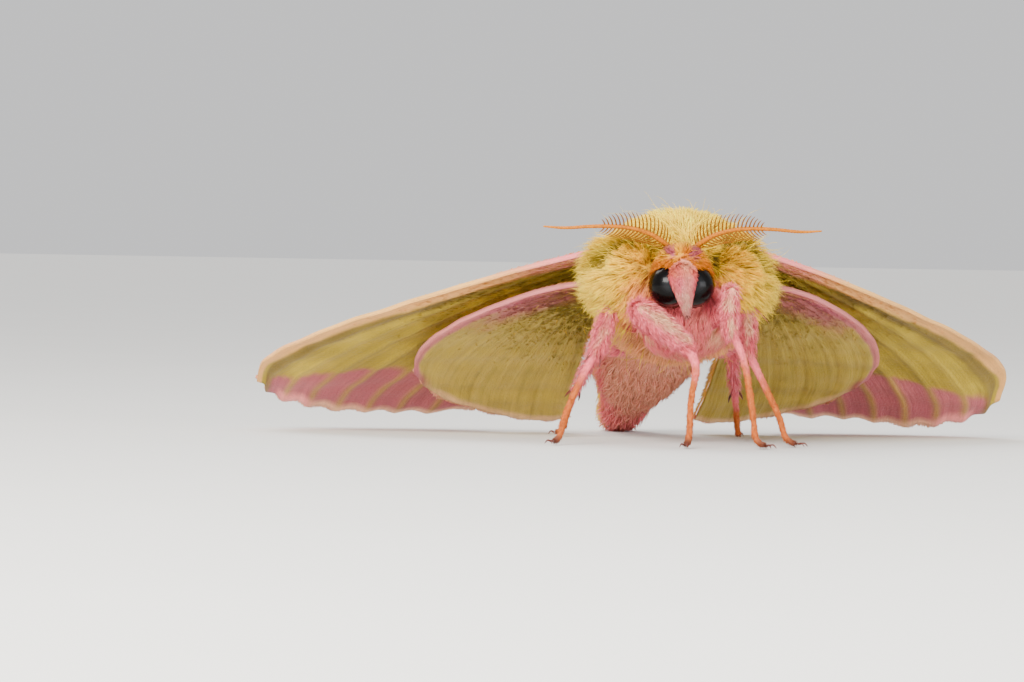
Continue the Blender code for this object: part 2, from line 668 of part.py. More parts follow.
def main():
    clear_scene()
    random.seed(SEED)
    model = new_collection("rosy_maple_moth")
    tools = new_collection("cutters")
    tools.hide_render = True

    wings = build_wings(model, tools)
    legs = build_legs(model, tools)
    head = build_head(model, tools)
    thorax = fuse(thorax_core("thorax", model), thorax_locks(tools))
    abdomen = fuse(abdomen_core(model), abdomen_locks(tools))
    wing_rooms = [wing_of(side, tools, GAP) for side in (1, -1) for wing_of in (forewing, hindwing)]
    head_rooms = [eye(1, tools, GAP), eye(-1, tools, GAP), palps(tools, GAP), head_room(tools)]
    leg_rooms = [leg("leg_room", parts, tools, GAP) for parts in ALL_LEGS.values()]
    cut(thorax, [abdomen_core(tools, GAP), *wing_rooms, *head_rooms, *leg_rooms])
    wing_rooms = [wing_of(side, tools, GAP) for side in (1, -1) for wing_of in (forewing, hindwing)]
    cut(abdomen, [thorax_core("room", tools, GAP), ground(tools), *wing_rooms])

    slots = {name: new_material(name, *spec) for name, spec in MATERIALS.items()}
    to_metres = Matrix.Scale(MM, 4) @ Matrix.Translation((0, -MIDDLE_Y, 0))
    for obj in (*wings.values(), *legs.values(), *head.values(), thorax, abdomen):
        obj.data.transform(to_metres)
        obj.data.materials.clear()
        obj.data.materials.append(slots[SLOT_OF[obj.name.split("_")[0]]])


main()
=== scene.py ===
"""Looks of a rosy maple moth with half-open wings: woolly coat, scaled wings, combed antennae.

Shapes are worked out in millimetres from a point below the thorax's middle, with the head along -Y
and the moth's left along +X, and are then moved and scaled to metres.
"""

import math

import bpy
import numpy as np
from mathutils import Matrix, kdtree, noise


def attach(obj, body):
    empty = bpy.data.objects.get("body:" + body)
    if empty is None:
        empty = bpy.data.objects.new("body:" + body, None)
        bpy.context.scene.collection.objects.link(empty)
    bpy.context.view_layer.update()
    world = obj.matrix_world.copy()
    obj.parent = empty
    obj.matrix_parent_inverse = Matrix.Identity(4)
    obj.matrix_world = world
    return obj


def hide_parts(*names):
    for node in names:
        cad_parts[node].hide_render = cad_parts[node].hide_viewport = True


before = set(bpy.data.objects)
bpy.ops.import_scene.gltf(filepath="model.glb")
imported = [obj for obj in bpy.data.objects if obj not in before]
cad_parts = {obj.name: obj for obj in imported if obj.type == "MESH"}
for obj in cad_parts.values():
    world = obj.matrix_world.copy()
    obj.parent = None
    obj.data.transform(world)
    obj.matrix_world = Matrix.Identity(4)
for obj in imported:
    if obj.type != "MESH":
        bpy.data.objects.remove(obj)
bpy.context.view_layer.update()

MM = 0.001
MIDDLE_Y = 4.16
SEED = 1928
ROOT = "root"

# Camera: direction of view, then distance and aim in millimetres
VIEW_TURN, VIEW_RISE, VIEW_ROLL = math.radians(9), math.radians(1), math.radians(1)
VIEW_DISTANCE = 230
VIEW_AIM = (-7.173, 4.309)
VIEW_WIDTH = 44.52
SENSOR = 36
CLIP = (0.01, 20)

# Studio: lamps as name, place and size in millimetres, power and colour, then a soft sun from behind
LAMPS = (
    ("key", (-105, -175, 130), (140, 100), 1.35, (1.0, 0.97, 0.9)),
    ("fill", (150, -200, 25), (160, 160), 0.55, (0.98, 0.98, 1.0)),
)
SUN_WAY, SUN_SPREAD = (0.25, -0.7, -0.75), math.radians(40)
SUN_STRENGTH, SUN_COLOUR = 2.7, (1.0, 0.98, 0.94)
BACKDROP_COLOUR, BACKDROP_STRENGTH = (0.93, 0.93, 0.94, 1), 0.9
FLOOR_COLOUR, FLOOR_SIZE = (0.68, 0.675, 0.66), 6

# Thorax, chest and collar lobes: ellipsoids of flesh, tipped so that the head end is raised
PITCH = math.radians(22)
BACK = np.array([0, math.cos(PITCH), -math.sin(PITCH)])
UP = np.array([0, math.sin(PITCH), math.cos(PITCH)])
BODY_TURN = np.array([[1, 0, 0], BACK, UP]).T
THORAX_AT = np.array([0, 0, 6.8])
THORAX_RADII = (3.35, 3.6, 2.85)
CHEST_AT = THORAX_AT - 1.1 * BACK - 1.6 * UP
CHEST_RADII = (2.2, 2.5, 1.7)
COLLARS_AT = ((1.8, -2.2, 7.3), (-2.55, -2.2, 7.3))
COLLAR_RADII = (1.5, 1.4, 1.55)
LOBES_MIDDLE = -0.35

# Head, turned a little to the moth's right: points on it are given as right, forward and up
HEAD_AT = np.array([-0.65, -4.2, 7.3])
HEAD_TURN = math.radians(-9)
HEAD_COS, HEAD_SIN = math.cos(HEAD_TURN), math.sin(HEAD_TURN)
HEAD_AXES = np.array([[HEAD_COS, HEAD_SIN, 0], [HEAD_SIN, -HEAD_COS, 0], [0, 0, 1]]).T
HEAD_RADII = (1.12, 1.07, 1.22)
EYE_RADIUS = 0.86
EYE_AT = (0.54, 0.45, -0.43)
EYE_SPLIT = 0.17
ORBIT_RADII = (0.92, 0.92, 0.92)
ORBIT_INWARD, ORBIT_BACK = 0.06, 0.26  # how far the hair round an eye has its middle from the eye's own
HORN_AT, HORN_RADII = (0.4, 0.5, 0.98), (0.17, 0.7, 0.24)  # the purple base of each antenna
# The eye's smoky patch is a painted reflection of the lamps, laid into its colour
EYE_BLACK, EYE_PAINTED_REFLECTION = (0.0015, 0.001, 0.001), (0.014, 0.015, 0.017)
PAINTED_REFLECTION_WAY = np.array([0.05, 1.0, 0.12])
PALPS_PATH = (
    (0, 0.95, 0.3), (0.02, 1.55, -0.1), (0.08, 1.8, -0.72), (0.14, 1.74, -1.2), (0.2, 1.58, -1.66),
)
PALPS_WIDTHS = (0.42, 0.5, 0.46, 0.34, 0.2, 0.08)
ANTENNA_PATH = (
    (0.42, -0.45, 0.75), (0.58, -0.2, 1.2), (0.88, 0.0, 1.46), (1.3, 0.15, 1.71), (1.75, 0.3, 1.88),
    (2.3, 0.42, 2.0), (3.0, 0.5, 2.05), (3.9, 0.45, 2.03), (5.1, 0.3, 1.95), (5.95, 0.2, 2.0),
)
SHAFT_RADII = (0.13, 0.12, 0.11, 0.1, 0.092, 0.085, 0.075, 0.065, 0.035)
SHAFT_RINGS, RAMUS_PAIRS = 46, 19
RAMUS_START, RAMUS_END = 0.1, 0.575
RAMUS_REACH = ((0, 0.08, 0.25, 0.6, 0.85, 1), (0.55, 0.85, 1.0, 0.9, 0.68, 0.4))
RAMUS_RADIUS = 0.034
UPPER_LEAN, LOWER_LEAN, RAMUS_FORWARD = 0.24, 0.62, 0.55

# Wings: a frame at the root of the forewing, and edges as (along the span, across the chord)
SWEEP, DIP, TILT = math.radians(35), math.radians(17.5), math.radians(29.5)
FOREWING_ROOT = np.array([3.05, -0.6, 8.45])
CAMBER, CAMBER_SPAN, CAMBER_CHORD = 0.4, 19, 12
SCALLOP, RIPPLE = 0.009, 0.05  # how far the margin dips at the veins, and the height of slow waves
SAG = {1: 0.65, -1: 0.0}  # how far the left forewing's tip hangs below its plane
MEMBRANE = 0.055
RIDGE, RIDGE_WIDTH, VEIN_TINT_WIDTH = 0.075, 0.13, 0.014
FRINGE_LENGTH = 0.34
WINGS = {
    "forewing": {
        "root": (0, 0, 0),
        "costa": (
            (0, 0), (2.5, -0.4), (6, -0.75), (10, -0.95), (13.5, -0.95), (16, -0.65), (17.8, -0.1),
            (19.0, 1.3),
        ),
        "outer": (
            (19.0, 1.3), (19.3, 3.0), (18.6, 4.7), (17.3, 6.5), (15.7, 8.05), (14.1, 9.2), (12.6, 9.6),
        ),
        "inner": ((0, 1.4), (1.5, 2.2), (5, 4.8), (9, 7.7), (12.6, 9.6)),
        "veins": (0.0, 0.1, 0.21, 0.32, 0.44, 0.56, 0.68, 0.81, 1.0),
        "pleat": 0.08,
    },
    "hindwing": {
        "root": (0.6, 1.0, 1.12),
        "costa": ((0, 0), (1.6, -0.9), (4, -1.2), (6.6, -0.9), (8.9, -0.1), (10.6, 1.1), (11.6, 2.6)),
        "outer": ((11.6, 2.6), (11.9, 4.4), (11.4, 6.3), (10.3, 8.2), (9.2, 9.4), (8.0, 9.9)),
        "inner": ((0, 1.0), (2.2, 2.5), (5, 5.9), (7.0, 8.4), (8.0, 9.9)),
        "veins": (0.0, 0.15, 0.32, 0.5, 0.67, 0.84, 1.0),
        "pleat": -0.12,
    },
}
WING_ROWS, WING_COLUMNS = 90, 120

# Abdomen, then each leg's femur, tibia and tarsus as places on its middle line with a half width
ABDOMEN_PATH = (
    (0, 1.6, 6.2), (0, 3.5, 5.75), (0, 7.0, 4.45), (0, 10.6, 2.7), (0, 13.2, 1.2), (0, 14.5, 0.75),
)
ABDOMEN_RADII = (1.85, 2.3, 2.25, 1.8, 1.05, 0.65)
LEGS = {
    "foreleg_left": (
        ((0.7, -2.6, 4.9, 0.4), (1.05, -3.9, 5.7, 0.42), (1.34, -5.15, 6.75, 0.38)),
        ((1.36, -5.2, 6.85, 0.36), (1.2, -5.6, 5.9, 0.42), (1.15, -6.0, 4.95, 0.38)),
        ((1.13, -5.95, 5.1, 0.3), (1.6, -6.15, 4.1, 0.26), (2.1, -6.35, 1.6, 0.25),
         (2.35, -6.5, 0.3, 0.25), (2.6, -6.85, 0.17, 0.25)),
    ),
    "foreleg_right": (
        ((-0.9, -2.6, 4.8, 0.5), (-1.9, -3.4, 5.3, 0.55), (-2.6, -4.35, 5.95, 0.5)),
        ((-2.7, -4.4, 6.0, 0.55), (-1.75, -5.1, 5.2, 0.6), (-0.7, -5.75, 4.35, 0.45)),
        ((-0.85, -5.7, 4.45, 0.34), (-0.4, -5.95, 3.8, 0.28), (-0.55, -6.3, 2.0, 0.25),
         (-0.7, -6.5, 0.3, 0.25), (-0.85, -6.85, 0.17, 0.25)),
    ),
    "midleg_left": (
        ((1.2, -1.2, 5.0, 0.45), (1.8, -1.9, 5.5, 0.5), (2.4, -2.7, 6.2, 0.45)),
        ((2.45, -2.75, 6.25, 0.42), (2.45, -3.1, 5.2, 0.45), (2.4, -3.5, 4.05, 0.38)),
        ((2.4, -3.45, 4.2, 0.3), (2.85, -3.7, 3.2, 0.26), (3.75, -4.0, 1.3, 0.25),
         (4.15, -4.15, 0.3, 0.25), (4.45, -4.4, 0.17, 0.25)),
    ),
    "midleg_right": (
        ((-1.3, -1.2, 5.0, 0.45), (-2.3, -1.9, 5.3, 0.5), (-3.3, -2.6, 5.85, 0.45)),
        ((-3.35, -2.6, 5.9, 0.42), (-3.75, -3.0, 5.0, 0.45), (-4.15, -3.45, 3.95, 0.38)),
        ((-4.1, -3.4, 4.1, 0.3), (-4.9, -3.75, 2.7, 0.26), (-5.6, -4.0, 1.1, 0.25),
         (-5.85, -4.1, 0.3, 0.25), (-6.1, -4.4, 0.17, 0.25)),
    ),
    "hindleg_left": (
        ((1.3, 1.0, 4.6, 0.4), (2.2, 1.9, 4.1, 0.42), (3.0, 2.9, 4.2, 0.36)),
        ((3.0, 2.95, 4.25, 0.34), (3.3, 3.9, 3.1, 0.32), (3.6, 4.9, 2.1, 0.28)),
        ((3.55, 4.8, 2.2, 0.26), (3.8, 5.5, 1.2, 0.25), (4.0, 6.1, 0.3, 0.25), (4.15, 6.6, 0.17, 0.25)),
    ),
}
LEGS["hindleg_right"] = tuple(tuple((-x, *rest) for x, *rest in part) for part in LEGS["hindleg_left"])
SEGMENTS = ("femur", "tibia", "tarsus")
LEG_COAT = {"femur": 0.16, "tibia": 0.16, "tarsus": 0.1}  # how far the skin lies below the leg's outline

# Skin
VOXEL = 0.1
SKIN_SMOOTHING = 5
FLOOR_CLEARANCE = 0.006

# Coat of each region: tufts per square millimetre, length, width and height of a tuft, then the locks that
# tufts gather into: how many share one, and how far they draw together
COATS = {
    "dome": (300, 0.95, 0.05, 0.52, 34, 0.4),
    "chest": (210, 0.85, 0.055, 0.3, 24, 0.5),
    "collar": (460, 0.85, 0.045, 0.45, 30, 0.6),
    "head": (620, 0.46, 0.042, 0.2, 14, 0.4),
    "orbit": (700, 0.26, 0.03, 0.05, 6, 0.1),
    "palps": (800, 0.42, 0.034, 0.1, 12, 0.35),
    "abdomen": (95, 1.15, 0.085, 0.36, 20, 0.45),
    "femur": (300, 0.52, 0.036, 0.21, 16, 0.4),
    "tibia": (330, 0.54, 0.036, 0.26, 16, 0.4),
    "tarsus": (260, 0.22, 0.03, 0.05, 6, 0.2),
}
LONG_HAIRED, FINE_HAIRED = ("collar", "dome"), ("palps", "femur", "tibia", "head")
COAT_NODES = {"dome": "thorax", "chest": "thorax", "collar": "thorax", "orbit": "head"}
COAT_SLOTS = {"head": "orange_coat", "orbit": "orange_coat", "palps": "pink_coat"}
COAT_VARIETY, FINE_VARIETY = 0.08, 0.15  # how much single tufts differ in shade
ARC_RADIUS, ARC_WIDTH = 1.3, 0.17  # the painted olive shade in the furrow over each collar lobe
MOST_TRIANGLES = 190000
LONG_TUFT = ((0.0, 0.36, 0.72), (0.8, 1.0, 0.62))  # stations and swell of a tuft with one bend more
SHORT_TUFT = ((0.0, 0.5), (0.85, 1.0))
TUFT_SINK = 0.08  # how deep a tuft is rooted
TUFT_PATCH, PATCH_MARGIN = 0.003, 0.004  # its size on the unwrap, and the room kept from its edges
COAT_SCATTER, WING_SCATTER = 0.16, 0.12  # how much single tufts stray from the lie
ABDOMEN_BARE = 0.15  # no tufts grow on the abdomen below this height
LOOSE_HAIRS = ((0, 420, 1.15, 0.85), (2, 150, 1.5, 0.7), (3, 150, 1.5, 0.7))  # form, count, length and height
LOOSE_WIDTH = 0.024
OUTER_FRINGE, INNER_FRINGE, WING_HAIRS = 1500, 700, 2600
CHEST_SPOT_AT, CHEST_SPOT_RADII = (-0.1, -4.4, 5.1), (0.55, 1.0, 0.55)

# Colours of the coat and the wings, in shares of 255 as a screen shows them
PALE_YELLOW, YELLOW, GOLD = (255, 214, 52), (255, 202, 12), (240, 174, 0)
# OLIVE_SHADE is used only for painted shade in creases and furrows
ORANGE, OLIVE_SHADE, CREAM = (208, 112, 0), (98, 76, 0), (255, 196, 150)
PINK, ROSE, MAROON, PURPLE = (255, 116, 128), (228, 80, 88), (116, 32, 36), (160, 60, 92)
UNDERSIDE = (240, 160, 110)
BROWN, RUST, DARK, SALMON = (104, 52, 34), (200, 98, 24), (28, 6, 6), (255, 184, 158)
STRAW, FAWN, MOSS, LEMON = (150, 126, 34), (170, 146, 68), (98, 86, 16), (212, 184, 52)
PEACH, DUSKY, FOLD_SHADOW_BROWN, BLUSH = (246, 180, 104), (180, 86, 104), (100, 78, 40), (252, 148, 144)
SHAFT_COLOUR, RAMUS_COLOUR, TIP_COLOUR = (178, 100, 0), (128, 74, 0), (196, 118, 0)
CLAW_COLOUR = (96, 34, 22)


# Numbers

def unit(vectors):
    return vectors / np.maximum(np.linalg.norm(vectors, axis=-1, keepdims=True), 1e-9)


def flattened(ways, normals):
    """What is left of directions once they lie in the planes with these normals."""
    return ways - (ways * normals).sum(-1, keepdims=True) * normals


def mix(first, second, share):
    share = np.asarray(share)[..., None]
    return first * (1 - share) + second * share


def ramp(value, low, high):
    """0 below low, 1 above high, and smooth between them."""
    x = np.clip((value - low) / (high - low), 0, 1)
    return x * x * (3 - 2 * x)


def seen(colour):
    """A colour given as it is seen, as light."""
    share = np.array(colour, float) / 255
    return np.where(share <= 0.04045, share / 12.92, ((share + 0.055) / 1.055) ** 2.4)


def layered(base, *layers):
    """Light of a colour, with others laid over it one by one, each by its share."""
    for colour, share in layers:
        base = mix(base, seen(colour), share)
    return base


def grain(points, size, seed):
    """Smooth noise from -1 to 1 at each point."""
    moved = points / size + 17.3 * seed
    return np.array([noise.noise(p) for p in moved.tolist()])


def smooth_curve(points, count=64):
    """Points spaced evenly along a curve that runs through the given ones."""
    points = np.array(points, float)
    steps = np.linalg.norm(np.diff(points, axis=0), axis=1)
    at = np.concatenate([[0], np.cumsum(steps)])
    slopes = np.gradient(points, at, axis=0)
    places = np.linspace(0, at[-1], count)
    i = np.clip(np.searchsorted(at, places, side="right") - 1, 0, len(points) - 2)
    step = (at[i + 1] - at[i])[:, None]
    x = (places - at[i])[:, None] / step
    return (
        (2 * x**3 - 3 * x**2 + 1) * points[i] + (x**3 - 2 * x**2 + x) * step * slopes[i]
        + (3 * x**2 - 2 * x**3) * points[i + 1] + (x**3 - x**2) * step * slopes[i + 1]
    )


def along_curve(curve, t):
    """Points of a sampled curve at the given shares of its length."""
    knots = np.linspace(0, 1, len(curve))
    return np.stack([np.interp(t, knots, curve[:, k]) for k in range(curve.shape[1])], axis=-1)


def radii_off(points, centre, radii):
    """Distance of each point from a centre, in shares of the radii."""
    return np.linalg.norm((points - np.array(centre)) / radii, axis=1)


def in_head(point):
    return HEAD_AT + HEAD_AXES @ np.array(point, float)


# Objects

def add_mesh(name, points, faces, tone=None, lie=None):
    """A mesh object from millimetre points and a list of arrays of faces with equal numbers of corners.

    A tone with no fourth number gets 1 there.
    """
    placed = (points - np.array([0, MIDDLE_Y, 0])) * MM
    corners = np.concatenate([part.ravel() for part in faces]).astype(np.int32)
    counts = np.concatenate([np.full(len(part), part.shape[1]) for part in faces])
    mesh = bpy.data.meshes.new(name)
    mesh.vertices.add(len(points))
    mesh.vertices.foreach_set("co", placed.astype(np.float32).ravel())
    mesh.loops.add(len(corners))
    mesh.loops.foreach_set("vertex_index", corners)
    mesh.polygons.add(len(counts))
    mesh.polygons.foreach_set("loop_start", np.concatenate([[0], np.cumsum(counts)[:-1]]).astype(np.int32))
    mesh.polygons.foreach_set("use_smooth", np.ones(len(counts), bool))
    mesh.update(calc_edges=True)
    if tone is not None:
        full = tone if tone.shape[1] == 4 else np.column_stack([tone, np.ones(len(tone))])
        set_points(mesh, "tone", "FLOAT_COLOR", "color", full)
    if lie is not None:
        set_points(mesh, "lie", "FLOAT_VECTOR", "vector", lie)
    obj = bpy.data.objects.new(name, mesh)
    bpy.context.scene.collection.objects.link(obj)
    return obj


def set_points(mesh, name, kind, field, values):
    data = mesh.attributes.new(name, kind, "POINT").data
    data.foreach_set(field, np.asarray(values, np.float32).ravel())


def piece(obj, material, slot, *nodes):
    """Gives an object its material, and lets it stand for nodes of the frame; the slot is not used."""
    obj.data.materials.append(material)
    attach(obj, ROOT)
    if nodes:
        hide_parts(*nodes)


def ellipsoid(centre, radii, turn, sides=48, rings=24):
    """Points and faces of a closed ellipsoid."""
    polar = np.linspace(0, math.pi, rings + 1)[1:-1]
    turned = np.arange(sides) * 2 * math.pi / sides
    ring = np.stack([np.cos(turned), np.sin(turned)], axis=1)
    rows = [np.column_stack([ring * math.sin(a), np.full(sides, math.cos(a))]) for a in polar]
    local = np.concatenate([*rows, [[0, 0, 1], [0, 0, -1]]])
    points = centre + (local * radii) @ np.asarray(turn).T
    return points, tube_faces(len(polar), sides)


def tube_faces(rings, sides):
    """Faces of a tube whose two last points close its first and its last ring."""
    k = np.arange(sides)
    after = (k + 1) % sides
    quads = [
        np.column_stack([r * sides + k, (r + 1) * sides + k, (r + 1) * sides + after, r * sides + after])
        for r in range(rings - 1)
    ]
    first, last = rings * sides, rings * sides + 1
    start = np.column_stack([np.full(sides, first), k, after])
    end = np.column_stack([np.full(sides, last), (rings - 1) * sides + after, (rings - 1) * sides + k])
    return np.concatenate(quads), np.concatenate([start, end])


def tube(path, radii, sides, rings, across=(1, 0, 0.01), bumps=None):
    """A closed tube with round ends along a path, with half widths at even steps of it, ringed or not."""
    curve = smooth_curve(path)
    length = np.linalg.norm(np.diff(curve, axis=0), axis=1).sum()
    if bumps is None:
        t = (1 - np.cos(np.linspace(0, math.pi, rings + 2)[1:-1])) / 2
    else:
        t = np.linspace(0.004, 0.996, rings)
    centre = along_curve(curve, t)
    ahead = unit(along_curve(curve, np.minimum(t + 0.02, 1)) - along_curve(curve, np.maximum(t - 0.02, 0)))
    wide = np.broadcast_to(np.array(across, float), ahead.shape)
    wide = unit(flattened(wide, ahead))
    deep = np.cross(ahead, wide)
    radius = np.interp(t, np.linspace(0, 1, len(radii)), radii)
    reach = np.minimum(t, 1 - t) * length / radius
    radius = radius * np.sqrt(1 - (1 - np.minimum(reach, 1)) ** 2)
    if bumps is not None:
        radius = radius * bumps(t)
    angle = np.arange(sides) * 2 * math.pi / sides
    rim = wide[:, None] * np.cos(angle)[:, None] + deep[:, None] * np.sin(angle)[:, None]
    rim = rim * radius[:, None, None]
    points = np.concatenate([(centre[:, None] + rim).reshape(-1, 3), curve[:1], curve[-1:]])
    quads, ends = tube_faces(rings, sides)
    return points, [quads[:, ::-1], ends[:, ::-1]]


def joined(shapes):
    """Several shapes as one list of points and faces by number of corners."""
    points, quads, triangles, start = [], [], [], 0
    for own, faces in shapes:
        points.append(own)
        for part in faces:
            (quads if part.shape[1] == 4 else triangles).append(part + start)
        start += len(own)
    return np.concatenate(points), [np.concatenate(part) for part in (quads, triangles) if part]


# Materials

class Nodes:
    """Short calls that add and link the nodes of one material."""

    def __init__(self, name):
        self.material = bpy.data.materials.new(name)
        self.material.use_nodes = True
        self.tree = self.material.node_tree

    def feed(self, sockets, values):
        for key, value in values.items():
            if isinstance(value, bpy.types.NodeSocket):
                self.tree.links.new(value, sockets[key])
            else:
                sockets[key].default_value = value

    def add(self, kind, output, inputs, **settings):
        """The named output of a new node."""
        node = self.tree.nodes.new("ShaderNode" + kind)
        for key, value in settings.items():
            setattr(node, key, value)
        self.feed(node.inputs, inputs)
        return node.outputs[output]

    def attribute(self, name, output):
        return self.add("Attribute", output, {}, attribute_name=name)

    def tone(self, shade):
        """The colour marked on the mesh, in a shade."""
        return self.times(self.attribute("tone", "Color"), shade)

    def place(self):
        return self.add("TexCoord", "Object", {})

    def noise(self, scale, detail=2.0, vector=None, roughness=0.5):
        inputs = {"Vector": vector or self.place(), "Scale": scale, "Detail": detail, "Roughness": roughness}
        return self.add("TexNoise", "Fac", inputs)

    def spread(self, value, to_low, to_high, low=0.3, high=0.7):
        """A value spread over a range, by default one that runs as a noise does."""
        inputs = {"Value": value, "From Min": low, "From Max": high, "To Min": to_low, "To Max": to_high}
        return self.add("MapRange", "Result", inputs)

    def scaled(self, vector, factors):
        return self.add("VectorMath", "Vector", {0: vector, 1: factors}, operation="MULTIPLY")

    def times(self, colour, value):
        return self.add("VectorMath", "Vector", {0: colour, "Scale": value}, operation="SCALE")

    def math(self, operation, first, second):
        return self.add("Math", "Value", {0: first, 1: second}, operation=operation)

    def product(self, first, second):
        return self.math("MULTIPLY", first, second)

    def bump(self, height, distance, strength):
        return self.add("Bump", "Normal", {"Height": height, "Distance": distance, "Strength": strength})

    def finish(self, **inputs):
        named = {key.replace("_", " "): value for key, value in inputs.items()}
        self.feed(self.tree.nodes["Principled BSDF"].inputs, named)
        return self.material


def coat_material(name, painted_root_shade, painted_tip_light, sheen, glow):
    """Hair: its marking with painted shade darker at the root and painted light at the tip, with slow and
    fine variation.
    """
    nodes = Nodes(name)
    # Painted shade and light: each tuft is darkened towards its root and lightened at its tip
    shade = nodes.spread(nodes.attribute("tone", "Alpha"), painted_root_shade, painted_tip_light, 0.0, 1.0)
    patches = nodes.spread(nodes.noise(1600, 3), 0.9, 1.06)
    strands = nodes.spread(nodes.noise(16000), 0.92, 1.06)
    shade = nodes.product(shade, nodes.product(patches, strands))
    return nodes.finish(
        Base_Color=nodes.tone(shade), Roughness=0.75, Sheen_Weight=sheen, Sheen_Roughness=0.5,
        Sheen_Tint=glow, Specular_IOR_Level=0.1, Normal=nodes.bump(nodes.noise(22000), 0.00001, 0.5),
    )


def skin_material():
    nodes = Nodes("skin")
    fine = nodes.noise(9000, 4)
    colour = nodes.tone(nodes.spread(fine, 0.72, 0.95))
    return nodes.finish(Base_Color=colour, Roughness=0.8, Normal=nodes.bump(fine, 0.00004, 0.8))


def wing_material():
    """Scaled membrane: streaks that fan out from the root, rows of scales, and a satin finish."""
    nodes = Nodes("wing_scales")
    lie = nodes.attribute("lie", "Vector")
    streaks = nodes.noise(1.0, 4, nodes.scaled(lie, (3.5, 46.0, 5.0)), 0.6)
    rows = nodes.noise(1.0, 2, nodes.scaled(lie, (130.0, 110.0, 5.0)))
    shade = nodes.product(nodes.spread(streaks, 0.84, 1.1), nodes.spread(rows, 0.92, 1.06))
    shade = nodes.product(shade, nodes.spread(nodes.noise(500, 3), 0.92, 1.06))
    relief = nodes.math("ADD", nodes.product(streaks, 1.6), rows)
    return nodes.finish(
        Base_Color=nodes.tone(shade), Roughness=nodes.spread(rows, 0.55, 0.7), Sheen_Weight=0.08,
        Specular_IOR_Level=0.2, Normal=nodes.bump(relief, 0.00006, 0.7),
    )


def horn_material():
    """Antennae: amber horn with rings of small pale scales."""
    nodes = Nodes("antenna_horn")
    rings = nodes.noise(9000, 3)
    return nodes.finish(
        Base_Color=nodes.tone(nodes.spread(rings, 0.75, 1.2)), Roughness=0.55, Specular_IOR_Level=0.15,
        Normal=nodes.bump(rings, 0.00002, 0.6),
    )


def eye_material():
    """Compound eye: tiny facets and a painted reflection, a faint smoky patch, under a clear, dark, glossy
    surface.
    """
    nodes = Nodes("eye_gloss")
    facets = nodes.add("TexVoronoi", "Distance", {"Vector": nodes.place(), "Scale": 26000})
    return nodes.finish(
        Base_Color=nodes.tone(nodes.spread(nodes.noise(1500), 0.8, 1.2)), Roughness=0.2,
        Specular_IOR_Level=0.1, Coat_Weight=0.07, Coat_Roughness=0.05,
        Normal=nodes.bump(facets, 0.000003, 0.35),
    )


def plain_material(name, colour, shade, roughness):
    """One colour, with its shade spread over a noise given as scale, detail, lowest and highest."""
    nodes = Nodes(name)
    scale, detail, low, high = shade
    colour = nodes.times(colour, nodes.spread(nodes.noise(scale, detail), low, high))
    return nodes.finish(Base_Color=colour, Roughness=roughness)


# Flesh: each form, with its distance and lie at any point

def ball_form(name, centre, radii, turn, shrink=0.05):
    """An ellipsoid of flesh, whose kind is its name without the side."""
    form = {"centre": np.array(centre), "radii": np.array(radii) - shrink, "turn": np.array(turn)}
    return {"name": name, "kind": name.split("_")[0], **form}


def limb_form(name, path, radii, kind):
    return {"name": name, "kind": kind, "curve": smooth_curve(path), "path": path, "radii": radii}


def flesh_forms():
    forms = [
        ball_form("dome", THORAX_AT, THORAX_RADII, BODY_TURN),
        ball_form("chest", CHEST_AT, CHEST_RADII, BODY_TURN),
        ball_form("collar_left", COLLARS_AT[0], COLLAR_RADII, np.eye(3)),
        ball_form("collar_right", COLLARS_AT[1], COLLAR_RADII, np.eye(3)),
        ball_form("head", HEAD_AT, HEAD_RADII, HEAD_AXES, 0),
    ]
    for name, side in (("orbit_left", 1), ("orbit_right", -1)):
        centre = in_head((side * (EYE_AT[0] - ORBIT_INWARD), EYE_AT[1] - ORBIT_BACK, EYE_AT[2]))
        forms.append(ball_form(name, centre, ORBIT_RADII, HEAD_AXES, 0))
    forms.append(limb_form("palps", [in_head(p) for p in PALPS_PATH], PALPS_WIDTHS, "palps"))
    forms.append(limb_form("abdomen", ABDOMEN_PATH, ABDOMEN_RADII, "abdomen"))
    for name, parts in LEGS.items():
        for segment, part in zip(SEGMENTS, parts):
            radii = [radius - LEG_COAT[segment] for *_, radius in part]
            forms.append(limb_form(name, [place for *place, _ in part], radii, segment))
    return forms


def measure(form, points):
    """Distance from a form's surface, share along it and its direction at each point."""
    if "curve" not in form:
        local = (points - form["centre"]) @ form["turn"]
        scaled = np.linalg.norm(local / form["radii"], axis=1)
        slope = np.linalg.norm(local / form["radii"] ** 2, axis=1)
        return (scaled - 1) * scaled / np.maximum(slope, 1e-9), np.zeros(len(points)), None
    curve = form["curve"]
    offsets = ((points[:, None] - curve[None]) ** 2).sum(-1)
    i = offsets.argmin(1)
    t = i / (len(curve) - 1)
    radius = np.interp(t, np.linspace(0, 1, len(form["radii"])), form["radii"])
    return np.sqrt(offsets[np.arange(len(points)), i]) - radius, t, unit(np.gradient(curve, axis=0))[i]


def survey(forms, points):
    """The nearest form at each point, with the share along it, its direction, and all distances."""
    nearest = np.full(len(points), 1e9)
    which = np.zeros(len(points), int)
    share = np.zeros(len(points))
    heading = np.tile(BACK, (len(points), 1))
    distances = []
    for k, form in enumerate(forms):
        distance, t, ahead = measure(form, points)
        distances.append(distance)
        closer = distance < nearest
        nearest[closer], which[closer], share[closer] = distance[closer], k, t[closer]
        if ahead is not None:
            heading[closer] = ahead[closer]
    return which, share, heading, np.array(distances)


def read_rows(data, field, kind):
    values = np.empty(len(data) * 3, kind)
    data.foreach_get(field, values)
    return values.reshape(-1, 3)


